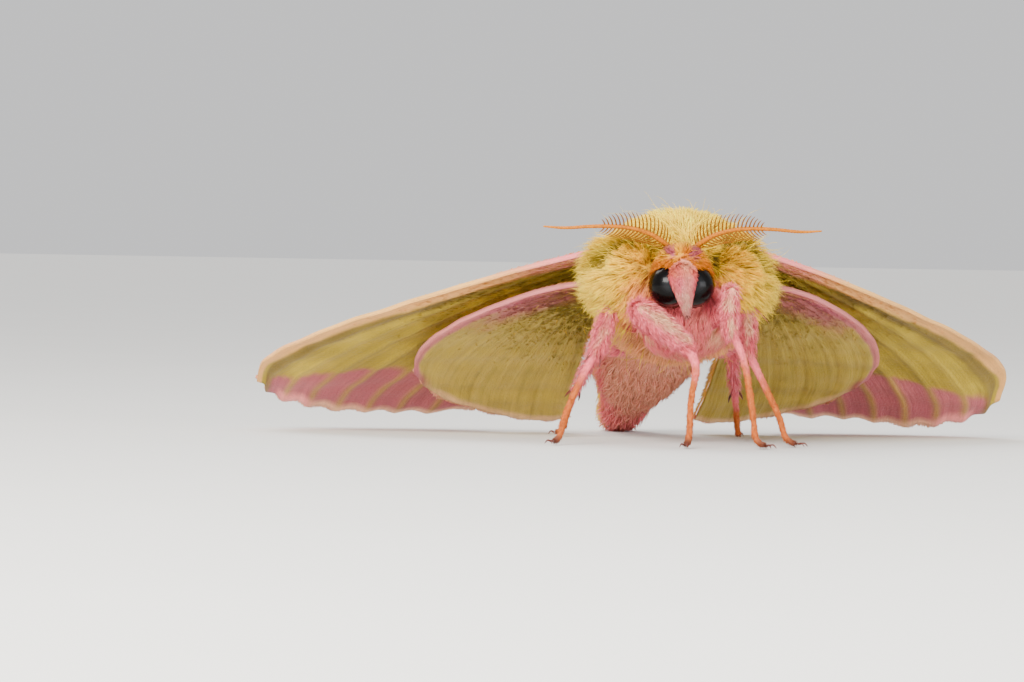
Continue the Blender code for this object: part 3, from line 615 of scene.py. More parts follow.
def build_skin(forms):
    """One closed skin over all flesh, with soft creases where forms meet."""
    points, faces = joined([
        tube(form["path"], form["radii"], 24, 40) if "curve" in form
        else ellipsoid(form["centre"], form["radii"], form["turn"])
        for form in forms
    ])
    rough = bpy.data.meshes.new("rough")
    rough.from_pydata(points.tolist(), [], [row for part in faces for row in part.tolist()])
    rough.validate()
    obj = bpy.data.objects.new("rough", rough)
    bpy.context.scene.collection.objects.link(obj)
    remesh = obj.modifiers.new("remesh", "REMESH")
    remesh.mode = "VOXEL"
    remesh.voxel_size = VOXEL
    smooth = obj.modifiers.new("smooth", "SMOOTH")
    smooth.iterations = SKIN_SMOOTHING
    made = obj.evaluated_get(bpy.context.evaluated_depsgraph_get()).to_mesh()
    made.calc_loop_triangles()
    places, normals = read_rows(made.vertices, "co", float), read_rows(made.vertex_normals, "vector", float)
    triangles = read_rows(made.loop_triangles, "vertices", np.int32)
    bpy.data.objects.remove(obj)
    bpy.data.meshes.remove(rough)
    places[:, 2] = np.maximum(places[:, 2], FLOOR_CLEARANCE)
    return places, normals, triangles


# Markings

def markings(forms, points, which, share, distances):
    """Colour of the coat and of the skin below it, by the place on the body."""
    kinds = np.array([form["kind"] for form in forms])[which]
    dome, collar, chest = kinds == "dome", kinds == "collar", kinds == "chest"
    limb = (kinds == "femur") | (kinds == "tibia")
    colour = np.tile(seen(YELLOW), (len(points), 1))
    slow, fine = grain(points, 0.9, 1), grain(points, 0.28, 2)

    def paint(chosen, base, *layers):
        colour[chosen] = layered(seen(base), *layers)[chosen]

    rise = (points - THORAX_AT) @ UP
    # Painted light and shade: the dome is paler towards its top and golden lower down; the pink underneath is
    # the coat's own colour
    paint(
        dome, YELLOW, (PALE_YELLOW, ramp(rise + 0.2 * slow, -0.4, 1.2)),
        (GOLD, 0.35 * ramp(-rise, -1.2, 0.4)), (UNDERSIDE, ramp(-rise + 0.3 * slow, 0.7, 1.3)),
    )

    outward = np.abs(points[:, 0] - LOBES_MIDDLE) - 1.75 - 0.25 * (points[:, 2] - 7.3)
    pale = outward + 0.35 * fine + 0.3 * ramp(7.2 - points[:, 2], 0, 1)
    paint(
        collar, GOLD, (YELLOW, ramp(outward + 0.45 * slow, 0.1, 1.0)),
        (YELLOW, 1 - ramp(-points[:, 1], 2.2, 3.0)), (PALE_YELLOW, ramp(pale, 0.6, 1.5)),
    )

    # Painted shade: olive in the crease where the dome meets the collar lobes, and along an arc in the furrow
    # over each lobe
    gap = np.abs(distances[0] - np.minimum(distances[2], distances[3]))
    crease_shade = (dome | collar) * (1 - ramp(gap + 0.1 * fine, 0.1, 0.5)) * ramp(points[:, 2], 7.3, 7.9)
    reach, upper = furrow(points)
    off_arc = reach + 0.05 * fine - ARC_RADIUS
    arc_shade = np.exp(-((off_arc / np.where(off_arc > 0, 0.6 * ARC_WIDTH, ARC_WIDTH)) ** 2)) * upper
    colour[:] = layered(colour, (OLIVE_SHADE, 0.45 * crease_shade), (OLIVE_SHADE, 0.95 * (dome | collar) * arc_shade))

    spot = 1 - ramp(radii_off(points, CHEST_SPOT_AT, CHEST_SPOT_RADII) + 0.3 * fine, 0.4, 1.1)
    paint(chest, PINK, (CREAM, 0.85 * ramp(slow + 0.4 * fine, -0.4, 0.6)), (ORANGE, 0.85 * spot))

    face = (points - HEAD_AT) @ HEAD_AXES
    beside = np.linalg.norm(face[:, [0, 2]] - (0, -0.5), axis=1)
    blush = (collar | dome | chest) * (1 - ramp(beside + 0.3 * slow, 1.5, 2.4)) * ramp(-face[:, 2], -0.3, 0.5)
    colour[:] = layered(colour, (PINK, 0.75 * blush))

    cheek = ramp(np.abs(face[:, 0]), 0.66, 0.9) * ramp(-face[:, 2], -0.45, 0.1)
    horns = [radii_off(face, (side * HORN_AT[0], *HORN_AT[1:]), HORN_RADII) for side in (1, -1)]
    paint(
        kinds == "head", ORANGE, (YELLOW, 0.5 * ramp(face[:, 2] + 0.3 * fine, 0.7, 1.1)), (MAROON, cheek),
        (PURPLE, 0.9 * (1 - ramp(np.minimum(*horns) + 0.2 * fine, 0.7, 1.15))),
        (MAROON, ramp(-face[:, 2], 0.5, 1.0)),
    )
    brow = ramp(face[:, 2], 0.1, 0.4) * ramp(0.9 - np.abs(face[:, 0]), 0, 0.3)
    paint(kinds == "orbit", MAROON, (DARK, ramp(fine, 0.0, 0.6)), (ORANGE, brow))

    ridge = 1 - ramp(np.abs(face[:, 0] - 0.15) + 0.1 * fine, 0.05, 0.32)
    flank = ramp(np.abs(face[:, 0] - 0.05) + 0.08 * fine, 0.25, 0.5)
    paint(
        kinds == "palps", PINK, (SALMON, np.clip(0.5 * ramp(fine + slow, -0.2, 0.5) + 0.5 * ridge, 0, 1)),
        (ROSE, 0.7 * flank), (ORANGE, 0.4 * ramp(face[:, 2] + 0.12 * fine, 0.0, 0.3)),
        (DARK, ramp(share, 0.9, 0.98)),
    )

    height = points[:, 2] - np.interp(points[:, 1], *np.array(ABDOMEN_PATH).T[1:])
    # The pink below and yellow above are the coat's own colours; the paler top is painted light
    paint(
        kinds == "abdomen", PINK, (YELLOW, ramp(height + 0.35 * slow + 0.15 * fine, -0.7, 0.15)),
        (PALE_YELLOW, 0.9 * ramp(height + 0.2 * slow, 0.4, 1.5)), (CREAM, 0.5 * ramp(-height, 0.9, 1.7)),
    )

    # Painted highlight: femora and tibiae turn cream on their side that faces forward and up
    lit_facing = np.zeros(len(points))
    for k in set(which[limb]):
        own = which == k
        offset = unit(points[own] - along_curve(forms[k]["curve"], share[own]))
        lit_facing[own] = offset @ unit(np.array([0, -0.85, 0.5]))
    painted_highlight = ramp(lit_facing + 0.35 * fine + 0.35 * slow, 0.7, 1.15)
    paint(limb, PINK, (CREAM, 0.8 * painted_highlight), (ROSE, 0.5 * ramp(-slow, 0.1, 0.6)))
    rust = ramp(share + 0.1 * fine, 0.15, 0.45)
    paint(kinds == "tarsus", PINK, (RUST, rust), (BROWN, ramp(share, 0.8, 1.0)))
    return np.clip(colour * (1 + 0.06 * slow + 0.05 * fine)[:, None], 0, 1)


# Coat

def tuft_shapes(roots, normals, lays, lengths, widths, rises, curls, flat=0.5, long=False):
    """Three-sided tapered tufts that leave the skin, bend over and lie along the coat."""
    side = np.cross(normals, lays)
    stations, swell = LONG_TUFT if long else SHORT_TUFT

    def middle(t):
        lift = -TUFT_SINK + (rises + TUFT_SINK) * (1 - (1 - t) ** 2)
        aside = curls * lengths * t * t
        return roots + normals * lift[:, None] + lays * (lengths * t)[:, None] + side * aside[:, None]

    rows = []
    for t, wide in zip(stations, swell):
        for k in range(3):
            angle = math.pi * (0.5 + 2 * k / 3)
            reach = side * math.cos(angle) + flat * normals * math.sin(angle)
            rows.append(middle(t) + reach * (widths * wide / 2)[:, None])
    rows.append(middle(1.0))
    faces = [[0, 2, 1]]
    last = 3 * len(stations) - 3
    for ring in range(0, last, 3):
        for k in range(3):
            after = (k + 1) % 3
            faces += [[ring + k, ring + after, ring + 3 + after], [ring + k, ring + 3 + after, ring + 3 + k]]
    faces += [[last + k, last + (k + 1) % 3, last + 3] for k in range(3)]
    return np.stack(rows, axis=1), np.array(faces), np.append(np.repeat(stations, 3), 1.0)


def coat_piece(name, material, slot, node, shapes, colours, places):
    """One coat piece from tufts, their colours, and their roots' places on the skin's unwrap."""
    points, faces, reach = shapes
    count, corners = points.shape[:2]
    points = points.copy()
    points[..., 2] = np.maximum(points[..., 2], FLOOR_CLEARANCE)
    all_faces = (faces[None] + corners * np.arange(count)[:, None, None]).reshape(-1, 3)
    reaches = np.tile(reach[None, :, None], (count, 1, 1))
    tone = np.concatenate([np.repeat(colours[:, None], corners, axis=1), reaches], axis=2)
    obj = add_mesh(name, points.reshape(-1, 3), [all_faces], tone=tone.reshape(-1, 4))
    across = np.append(np.tile([0, -1, 1], (corners - 1) // 3), 0) * 0.5
    own = np.stack([across, reach - 0.5], axis=1) * TUFT_PATCH * 0.5
    spots = np.clip(places, PATCH_MARGIN, 1 - PATCH_MARGIN)[:, None] + own[None]
    layer = obj.data.uv_layers.new(name="OFBake")
    layer.data.foreach_set("uv", spots.reshape(-1, 2)[all_faces.ravel()].astype(np.float32).ravel())
    piece(obj, material, slot, node)


def lie_of_coat(form, points, normals, heading, rng):
    """Direction in which the coat lies at each root."""
    kind = form["kind"]
    flank = points[:, 0] / THORAX_RADII[0]
    level = np.zeros(len(points))
    if kind == "dome":
        way = 0.9 * BACK + np.stack([0.9 * flank, level, -0.8 * np.abs(flank)], axis=1)
    elif kind == "collar":
        way = unit(points - in_head((0, -0.6, 0.1))) + np.array([0, 0.35, -0.45])
    elif kind == "chest":
        way = np.stack([0.5 * flank, level - 0.15, level - 1], axis=1)
    elif kind == "orbit":
        way = unit(points - form["centre"]) - 0.8 * HEAD_AXES[:, 1]
    elif kind == "head":
        face = (points - HEAD_AT) @ HEAD_AXES
        down = np.where(face[:, 2] > 0.85, 0.4, -1.0)
        way = np.stack([face[:, 0], level - 0.2, down], axis=1) @ HEAD_AXES.T
    else:
        way = heading
    way = way + rng.normal(0, COAT_SCATTER, way.shape)
    return unit(flattened(way, normals))


def unwrap(form, points, share):
    """Place of each root on an unwrap of the form's own skin."""
    if "curve" not in form:
        local = unit((points - form["centre"]) @ form["turn"] / form["radii"])
        turn = np.arctan2(local[:, 0], local[:, 2]) / (2 * math.pi) + 0.5
        return np.stack([turn, np.arccos(np.clip(local[:, 1], -1, 1)) / math.pi], axis=1)
    offset = points - along_curve(form["curve"], share)
    turn = np.arctan2(offset[:, 0], offset[:, 2] + 0.3 * offset[:, 1]) / (2 * math.pi) + 0.5
    in_leg = form["kind"] in SEGMENTS
    shift, scale = (SEGMENTS.index(form["kind"]) / 3, 1 / 3) if in_leg else (0.0, 1.0)
    return np.stack([shift + scale * share, turn], axis=1)


def furrow(points):
    """Distance from the nearer lobe's middle seen from the front, and 1 on the lobes' upper fronts."""
    reach = np.min([np.hypot(points[:, 0] - x, points[:, 2] - z) for x, _, z in COLLARS_AT], axis=0)
    return reach, ramp(points[:, 2], 7.35, 7.75) * ramp(-points[:, 1], 0.8, 1.4)


def gather(roots, normals, lays, lengths, size, pull, rng):
    """Draws the tufts of each patch towards one tip, and tells which patch each is in and how far out."""
    count = max(len(roots) // size, 1)
    chosen = rng.choice(len(roots), count, replace=False)
    tree = kdtree.KDTree(count)
    for i, k in enumerate(chosen):
        tree.insert(roots[k], i)
    tree.balance()
    found = [tree.find(root)[1:] for root in roots.tolist()]
    patch = np.array([index for index, _ in found])
    away = np.array([distance for _, distance in found])
    middle = chosen[patch]
    tips = roots + lays * lengths[:, None]
    tips = mix(tips, tips[middle], np.full(len(roots), pull))
    drawn = flattened(tips - roots, normals)
    return unit(drawn), np.linalg.norm(drawn, axis=1), patch, away / max(away.mean(), 1e-6)


def in_eye(points, margin):
    found = np.zeros(len(points), bool)
    for side in (1, -1):
        centre = in_head((side * EYE_AT[0], *EYE_AT[1:]))
        found |= np.linalg.norm(points - centre, axis=1) < EYE_RADIUS + margin
    return found


def grow_coat(forms, skin, materials):
    """Roots tufts over the whole skin, region by region."""
    places, normals, triangles = skin
    corners = places[triangles]
    areas = np.linalg.norm(np.cross(corners[:, 1] - corners[:, 0], corners[:, 2] - corners[:, 0]), axis=1) / 2
    owner = survey(forms, corners.mean(1))[0]
    groups = {}
    for k, form in enumerate(forms):
        rng = np.random.default_rng(SEED + k)
        kind = form["kind"]
        density, length, width, rise, lock_size, pull = COATS[kind]
        own = np.flatnonzero(owner == k)
        if len(own) == 0:
            continue
        count = int(areas[own].sum() * density)
        chosen = triangles[rng.choice(own, count, p=areas[own] / areas[own].sum())]
        weights = rng.dirichlet((1, 1, 1), count)[:, :, None]
        roots = (places[chosen] * weights).sum(1)
        upright = unit((normals[chosen] * weights).sum(1))
        keep = ~in_eye(roots, 0.02)
        if kind == "abdomen":
            keep &= roots[:, 2] > ABDOMEN_BARE
        roots, upright = roots[keep], upright[keep]
        which, share, heading, distances = survey(forms, roots)
        lay = lie_of_coat(form, roots, upright, heading, rng)
        count = len(roots)
        lengths = length * rng.uniform(0.7, 1.25, count)
        widths = width * rng.uniform(0.7, 1.2, count)
        rises = rise * rng.uniform(0.35, 1.15, count) ** 1.2
        curls = rng.normal(0, 0.14, count)
        if kind in ("femur", "tibia"):
            lengths *= 1 - 0.35 * np.abs(share - 0.45)
        if kind == "collar":
            outer = ramp(np.abs(roots[:, 0] - LOBES_MIDDLE), 2.2, 3.2) + ramp(6.9 - roots[:, 2], 0, 1.0)
            lengths *= 1 + 0.8 * np.clip(outer, 0, 1)
            reach, upper = furrow(roots)
            short = np.maximum(ARC_RADIUS - reach, 0.16) + 0.06
            held = (upper > 0.3) & (reach < ARC_RADIUS + 0.06)
            lengths = np.where(held, np.minimum(lengths, short), lengths)
            rises = np.where(held, np.minimum(rises, 0.1 + 0.4 * short), rises)
        if kind == "dome":
            front = ramp(-((roots - THORAX_AT) @ BACK), 1.5, 3.2)
            lengths *= 1 - 0.35 * front
            rises *= 1 - 0.3 * front
        lay, lengths, patch, away = gather(roots, upright, lay, lengths, lock_size, pull, rng)
        tufts, faces, reach = tuft_shapes(
            roots, upright, lay, lengths, widths, rises, curls, long=kind in LONG_HAIRED
        )
        clear = ~in_eye(tufts[:, -1], 0.04) & ~in_eye(tufts[:, 4], 0.03)
        colours = markings(forms, roots, which, share, distances)
        # Each lock has its own random tone, and painted shade darkens its tufts towards the lock's edge
        lock_tone_and_shade = rng.normal(1, 0.05, patch.max() + 1)[patch] * (1.05 - 0.12 * ramp(away, 0.6, 1.9))
        single = FINE_VARIETY if kind in FINE_HAIRED else COAT_VARIETY
        tint = lock_tone_and_shade[:, None] * rng.normal(1, single, (count, 1)) * rng.normal(1, 0.018, (count, 3))
        colours = np.clip(colours * tint, 0, 1)
        kept = [values[clear] for values in (tufts, colours, unwrap(form, roots, share), roots)]
        groups.setdefault(form["name"], []).append((*kept, faces, reach))
    for name, parts in groups.items():
        points, colours, spots, roots = (np.concatenate([part[i] for part in parts]) for i in range(4))
        faces, reach = parts[0][4:]
        stem = name.split("_")[0]
        slot = "pink_coat" if "leg" in stem else COAT_SLOTS.get(stem, "yellow_coat")
        order = np.argsort(roots[:, 1], kind="stable")
        share = math.ceil(len(points) * len(faces) / MOST_TRIANGLES)
        for i, chosen in enumerate(np.array_split(order, share)):
            label = f"coat_{name}" if share == 1 else f"coat_{name}_{i + 1}"
            coat_piece(
                label, materials[slot], slot, COAT_NODES.get(stem, name), (points[chosen], faces, reach),
                colours[chosen], spots[chosen],
            )


def loose_hairs(forms, skin, material):
    """A few long single hairs that stand out over the dome and round the skirts of the collar."""
    places, normals, triangles = skin
    rng = np.random.default_rng(SEED + 100)
    owner = survey(forms, places)[0]
    found = []
    for k, count, length, rise in LOOSE_HAIRS:
        chosen = rng.choice(np.flatnonzero(owner == k), count)
        roots, upright = places[chosen], normals[chosen]
        lay = lie_of_coat(forms[k], roots, upright, np.tile(BACK, (count, 1)), rng)
        lay = unit(lay + rng.normal(0, 0.35, lay.shape))
        shapes = tuft_shapes(
            roots, upright, lay, length * rng.uniform(0.5, 1.2, count), np.full(count, LOOSE_WIDTH),
            rise * rng.uniform(0.5, 1.2, count), rng.normal(0, 0.5, count), 1.0, long=True,
        )
        found.append((shapes[0], unwrap(forms[k], roots, np.zeros(count))))
    points, spots = (np.concatenate([part[i] for part in found]) for i in range(2))
    colours = seen(PALE_YELLOW) * rng.uniform(0.75, 1.0, (len(points), 1))
    coat_piece("coat_loose_hairs", material, "yellow_coat", "thorax", (points, *shapes[1:]), colours, spots)


# Wings

def wing_axes():
    along = np.array([math.cos(SWEEP) * math.cos(DIP), math.sin(SWEEP) * math.cos(DIP), -math.sin(DIP)])
    above = np.array([0, math.sin(TILT), math.cos(TILT)])
    above = unit(above - (above @ along) * along)
    return along, above, np.cross(above, along)


def cell_phase(t, veins):
    """0 at each vein and 1 at the next, and the distance in t to the nearest vein."""
    veins = np.array(veins)
    i = np.clip(np.searchsorted(veins, t, side="right") - 1, 0, len(veins) - 2)
    phase = (t - veins[i]) / (veins[i + 1] - veins[i])
    return phase, np.abs(t[..., None] - veins).min(-1)


def wing_edge(kind, edge):
    return smooth_curve([(u, v, 0) for u, v in WINGS[kind][edge]])


def wing_points(kind, side, s, t, lift=0.0):
    """Points of the membrane at shares s of the span and t of the chord, raised by lift from its middle."""
    spec = WINGS[kind]
    costa, outer, inner = (wing_edge(kind, edge) for edge in ("costa", "outer", "inner"))
    front, edge, rear = along_curve(costa, s), along_curve(outer, t), along_curve(inner, s)
    start = mix(costa[0], inner[0], t)
    corners = mix(start, mix(outer[0], outer[-1], t), s)
    flat = mix(front, rear, t) + mix(start, edge, s) - corners
    phase, off = cell_phase(t, spec["veins"])
    fold = (1 - np.cos(2 * math.pi * phase)) / 2
    flat = flat * (1 + SCALLOP * (0.55 - fold) * ramp(s, 0.85, 1.0))[..., None]
    start_in, start_behind, start_below = spec["root"]
    u, v = flat[..., 0] + start_in, flat[..., 1] + start_behind
    arch = np.sin(math.pi * np.clip(u / CAMBER_SPAN, 0, 1))
    arch = arch * np.sin(math.pi * np.clip((v + 1) / CAMBER_CHORD, 0, 1))
    along, above, behind = wing_axes()
    chord = np.linalg.norm(rear - front, axis=-1)
    ridge = RIDGE * np.exp(-((off * chord / RIDGE_WIDTH) ** 2)) * (1 - 0.6 * s)
    wave = RIPPLE * np.sin(2.1 * u + 3.0 * v) * np.sin(0.8 * v + 0.5 * u) * s
    hang = ramp(u, 13.5, 19.3) * np.clip(0.2 + v / 2.5, 0, 1) * (1 - ramp(v, 5.0, 9.0))
    rise = CAMBER * arch - start_below + spec["pleat"] * fold * s + wave - SAG[side] * hang
    height = rise + np.sign(lift) * (np.abs(lift) + ridge)
    place = FOREWING_ROOT + u[..., None] * along + v[..., None] * behind + height[..., None] * above
    return place * (side, 1, 1)


def wing_colours(kind, s, t, upper, points):
    """Markings of a wing: straw and olive below with pink margins, pink and yellow above."""
    slow = grain(points.reshape(-1, 3), 1.4, 4).reshape(s.shape)
    fine = grain(points.reshape(-1, 3), 0.45, 5).reshape(s.shape)
    chord = along_curve(wing_edge(kind, "inner"), s) - along_curve(wing_edge(kind, "costa"), s)
    behind = t * np.linalg.norm(chord, axis=-1)
    near_vein = np.exp(-((cell_phase(t, WINGS[kind]["veins"])[1] / VEIN_TINT_WIDTH) ** 2))
    if upper and kind == "forewing":
        return layered(
            seen(YELLOW), (CREAM, 0.4 * ramp(slow, 0, 0.6)), (PINK, 1 - ramp(s + 0.03 * fine, 0.26, 0.34)),
            (PINK, ramp(s + 0.05 * (t - 0.5) + 0.02 * fine, 0.7, 0.78)),
            (CREAM, 0.5 * near_vein * ramp(s, 0.6, 0.9)),
            (PEACH, 0.8 * (1 - ramp(behind, 0.2, 0.45)) * ramp(s, 0.1, 0.3)),
        )
    if upper:
        return layered(
            seen(YELLOW), (PALE_YELLOW, ramp(slow, 0, 0.6)), (PINK, 0.8 * ramp(s + 0.02 * fine, 0.88, 0.97)),
            (DUSKY, 0.9 * (1 - ramp(behind, 0.25, 0.5))),
        )
    ways = np.stack([s * 2.2, t * 34, np.ones(s.shape)], axis=-1)
    streak = grain(ways.reshape(-1, 3), 1.0, 6).reshape(s.shape)
    # Painted shade: moss darkens the underside towards the root, beside the body; the moss streaks are the
    # wing's own
    colour = layered(
        seen(STRAW), (LEMON if kind == "forewing" else FAWN, 0.3 + 0.5 * ramp(slow + 0.3 * fine, -0.5, 0.9)),
        (MOSS, 0.3 * ramp(streak - 0.3 * slow + 0.4 * fine, 0.1, 0.6)),
        (MOSS, 0.6 * (1 - ramp(s + 0.05 * fine, 0.1, 0.42))), (FAWN, 0.3 * near_vein),
    )
    if kind == "forewing":
        band = ramp(s + 0.42 * t + 0.012 * fine, 0.965, 0.99) * ramp(s, 0.76, 0.8) * ramp(behind, 0.7, 1.1)
        # Painted shadow: a brown line below the costal rim of the underside
        shadow = ramp(behind, 0.5, 0.75) * (1 - ramp(behind + 0.1 * fine, 1.0, 1.5)) * ramp(s, 0.2, 0.35)
        tip = ramp(s, 0.955, 0.98) * ramp(t, 0.14, 0.2) * (1 - ramp(t, 0.3, 0.36))
        rim = 1 - ramp(behind * (1 + 1.2 * ramp(s, 0.85, 1.0)) + 0.06 * fine, 0.5, 0.75)
        rosy = layered(seen(BLUSH), (PEACH, ramp(s + 0.03 * fine, 0.12, 0.3)))
        colour = layered(
            colour, (DUSKY, 0.92 * band * (1 - 0.65 * near_vein)), (FOLD_SHADOW_BROWN, 0.68 * shadow),
            (CREAM, 0.75 * ramp(s, 0.968, 0.99) * ramp(t, 0.2, 0.3)), (BLUSH, 0.85 * tip),
        )
        return mix(colour, rosy, 0.95 * rim)
    root_blush = (1 - ramp(behind + 0.25 * fine, 0.9, 1.9)) * (1 - ramp(s + 0.06 * fine, 0.36, 0.62))
    edge = 1 - ramp(behind + 0.05 * fine, 0.3, 0.5)
    corner = ramp(s, 0.9, 0.97) * (1 - ramp(t, 0.1, 0.24))
    return layered(
        colour * (1.04 + 0.42 * s)[..., None], (DUSKY, 0.8 * root_blush), (DUSKY, 0.85 * edge),
        (BLUSH, 0.5 * edge * (1 - ramp(behind, 0.1, 0.25))), (DUSKY, 0.8 * corner),
        (CREAM, 0.6 * ramp(s + 0.01 * fine, 0.955, 0.985) * ramp(t, 0.12, 0.3)),
    )


def build_wing(kind, side, material):
    """A closed, thin membrane with veins and folds on both faces."""
    s, t = np.meshgrid(np.linspace(0, 1, WING_ROWS + 1), np.linspace(0, 1, WING_COLUMNS + 1), indexing="ij")
    tones, lies, shells = [], [], []
    for upper, sign in ((True, 1), (False, -1)):
        lift = sign * MEMBRANE * (1 - 0.6 * ramp(s, 0.9, 1.0))
        points = wing_points(kind, side, s, t, lift)
        tones.append(wing_colours(kind, s, t, upper, points).reshape(-1, 3))
        lies.append(np.stack([s, t, np.full(s.shape, float(upper))], axis=-1).reshape(-1, 3))
        shells.append(points.reshape(-1, 3))
    index = np.arange(s.size).reshape(s.shape)
    a, b, c, d = index[:-1, :-1], index[1:, :-1], index[1:, 1:], index[:-1, 1:]
    top = np.stack([a, b, c, d], axis=-1).reshape(-1, 4)
    rim = np.concatenate([index[:, 0], index[-1, 1:], index[-2::-1, -1], index[0, -2:0:-1]])
    following = np.roll(rim, -1)
    border = np.column_stack([rim, rim + s.size, following + s.size, following])
    faces = np.concatenate([top, top[:, ::-1] + s.size, border])
    if side < 0:
        faces = faces[:, ::-1]
    name = f"{kind}_{'left' if side > 0 else 'right'}"
    shells, tones, lies = (np.concatenate(part) for part in (shells, tones, lies))
    piece(add_mesh(f"{name}_membrane", shells, [faces], tones, lies), material, "wing_membrane", name)
    return name


def wing_frame_at(kind, side, s, t, sign):
    """Point, outward normal, and directions along and across the wing at each place."""
    def heading(s_step, t_step):
        after = wing_points(kind, side, np.minimum(s + s_step, 1), np.minimum(t + t_step, 1))
        return unit(after - wing_points(kind, side, np.maximum(s - s_step, 0), np.maximum(t - t_step, 0)))

    point = wing_points(kind, side, s, t, sign * MEMBRANE * np.ones(s.shape))
    span, chord = heading(0.01, 0), heading(0, 0.01)
    normal = unit(np.cross(span, chord)) * sign * -side
    return point, normal, span, chord


def wing_coat(kind, side, name, material):
    """Fringe along the outer and inner margins, and soft hair that thins out from the root."""
    rng = np.random.default_rng(SEED + 200 + len(kind) * 2 + (side > 0))
    pieces = []

    def stray(way):
        return unit(way + rng.normal(0, WING_SCATTER, way.shape))

    def fringe_tint(colour, low, high, count):
        return mix(np.tile(seen(colour), (count, 1)), seen(CREAM), rng.uniform(low, high, count))

    count = OUTER_FRINGE
    t = np.clip(np.linspace(0.0, 1.0, count) + rng.normal(0, 0.002, count), 0, 1)
    s = np.full(count, 0.995)
    point, normal, span, chord = wing_frame_at(kind, side, s, t, 1)
    ahead = stray(span + chord * (1.1 * (t - 0.35))[:, None])
    tint = fringe_tint(PINK, 0.35, 1.0, count)
    length = FRINGE_LENGTH * rng.uniform(0.7, 1.25, count) * (0.3 + 0.7 * ramp(t, 0.08, 0.25))
    pieces.append((point - normal * MEMBRANE, normal, ahead, length, 0.09, 0.03, tint, np.stack([s, t], 1)))
    count = INNER_FRINGE
    s = rng.uniform(0.05, 1, count)
    t = np.full(count, 0.995)
    point, normal, span, chord = wing_frame_at(kind, side, s, t, 1)
    ahead = stray(chord + 0.9 * span)
    tint = fringe_tint(YELLOW, 0.2, 0.8, count)
    length = 0.5 * FRINGE_LENGTH * rng.uniform(0.6, 1.6, count) * (1 + 1.5 * (1 - s))
    pieces.append((point - normal * MEMBRANE, normal, ahead, length, 0.07, 0.03, tint, np.stack([s, t], 1)))
    count = WING_HAIRS
    for sign in (-1, 1):
        s = rng.beta(1.0, 2.6, count) * 0.75
        t = rng.uniform(0.01, 0.99, count)
        point, normal, span, chord = wing_frame_at(kind, side, s, t, sign)
        ahead = stray(span + 0.25 * chord)
        tint = wing_colours(kind, s, t, sign > 0, point)
        tint = mix(tint, seen(PALE_YELLOW), 0.45 * (1 - ramp(s, 0.0, 0.35)))
        length = rng.uniform(0.45, 1.0, count) * (1.25 - s)
        spot = np.stack([s, t * 0.5 + 0.25 * (sign + 1)], 1)
        pieces.append((point, normal, ahead, length, 0.05, 0.1, tint, spot))
    found = []
    for base, normal, ahead, length, width, rise, tint, spot in pieces:
        count = len(base)
        lay = unit(flattened(ahead, normal))
        widths, rises = width * rng.uniform(0.7, 1.2, count), rise * rng.uniform(0.5, 1.3, count)
        shapes = tuft_shapes(base, normal, lay, length, widths, rises, rng.normal(0, 0.12, count), 0.3)
        found.append((shapes[0], np.clip(tint * rng.normal(1, 0.07, (count, 1)), 0, 1), spot))
    points, colours, spots = (np.concatenate([part[i] for part in found]) for i in range(3))
    coat_piece(f"{name}_fringe", material, "wing_membrane", name, (points, *shapes[1:]), colours, spots)


# Head

def build_eye(side, material):
    name = "eye_left" if side > 0 else "eye_right"
    points, faces = ellipsoid(np.zeros(3), (EYE_RADIUS,) * 3, np.eye(3), 72, 48)
    centre = np.array([side * EYE_AT[0], *EYE_AT[1:]])
    points = points + centre
    points[:, 0] = side * np.maximum(side * points[:, 0], EYE_SPLIT)
    # Painted reflection: a soft pale patch on the eye's colour, on the side that faces forward and a little
    # up
    painted_reflection = 1 - ramp(np.linalg.norm(unit(points - centre) - unit(PAINTED_REFLECTION_WAY), axis=1), 0.15, 0.62)
    points = HEAD_AT + points @ HEAD_AXES.T
    tone = mix(np.array(EYE_BLACK), np.array(EYE_PAINTED_REFLECTION), painted_reflection)
    lens = add_mesh(f"{name}_lens", points, [part[:, ::-1] for part in faces], tone)
    piece(lens, material, "eye_gloss", name)


def build_antenna(side, material):
    """A ringed shaft with a double comb of curved filaments, bare towards its tip."""
    name = "antenna_left" if side > 0 else "antenna_right"
    path = [in_head((side * out, ahead, up)) for out, ahead, up in ANTENNA_PATH]
    curve = smooth_curve(path, 200)
    def rings(t):
        return 1 + 0.09 * np.sin(t * 2 * math.pi * SHAFT_RINGS)

    shapes = [tube(path, SHAFT_RADII, 10, 150, (0, 1, 0), rings)]
    tones = [np.tile(seen(SHAFT_COLOUR), (len(shapes[0][0]), 1))]
    forward = HEAD_AXES @ np.array([0, 1, 0])
    rng = np.random.default_rng(SEED + 300 + (side > 0))
    for t in np.linspace(RAMUS_START, RAMUS_END, RAMUS_PAIRS):
        before, centre, after = along_curve(curve, np.array([t - 0.01, t, t + 0.01]))
        ahead = unit(after - before)
        upward = unit(np.array([0, 0, 1]) - ahead[2] * ahead)
        place = (t - RAMUS_START) / (RAMUS_END - RAMUS_START)
        reach = np.interp(place, *RAMUS_REACH) * rng.uniform(0.96, 1.04)
        for sign, lean in ((1, UPPER_LEAN), (-1, LOWER_LEAN)):
            way = unit(sign * upward + lean * ahead + RAMUS_FORWARD * forward)
            bend = 0.16 * ahead - 0.12 * sign * upward
            places = [centre, centre + 0.35 * reach * way, centre + 0.7 * reach * way + 0.35 * bend * reach,
                      centre + reach * (way + bend)]
            radii = [RAMUS_RADIUS * share for share in (1.3, 1.0, 0.9, 0.7, 0.35)]
            shapes.append(tube(places, radii, 6, 12, ahead))
            tones.append(np.tile(seen(RAMUS_COLOUR), (len(shapes[-1][0]), 1)))
    points, faces = joined(shapes)
    out = ((points - HEAD_AT) @ HEAD_AXES)[:, 0] * side
    tone = mix(np.concatenate(tones), seen(TIP_COLOUR), 0.5 * ramp(out, 4.5, 6.0))
    piece(add_mesh(f"{name}_comb", points, faces, tone), material, "antenna_horn", name)


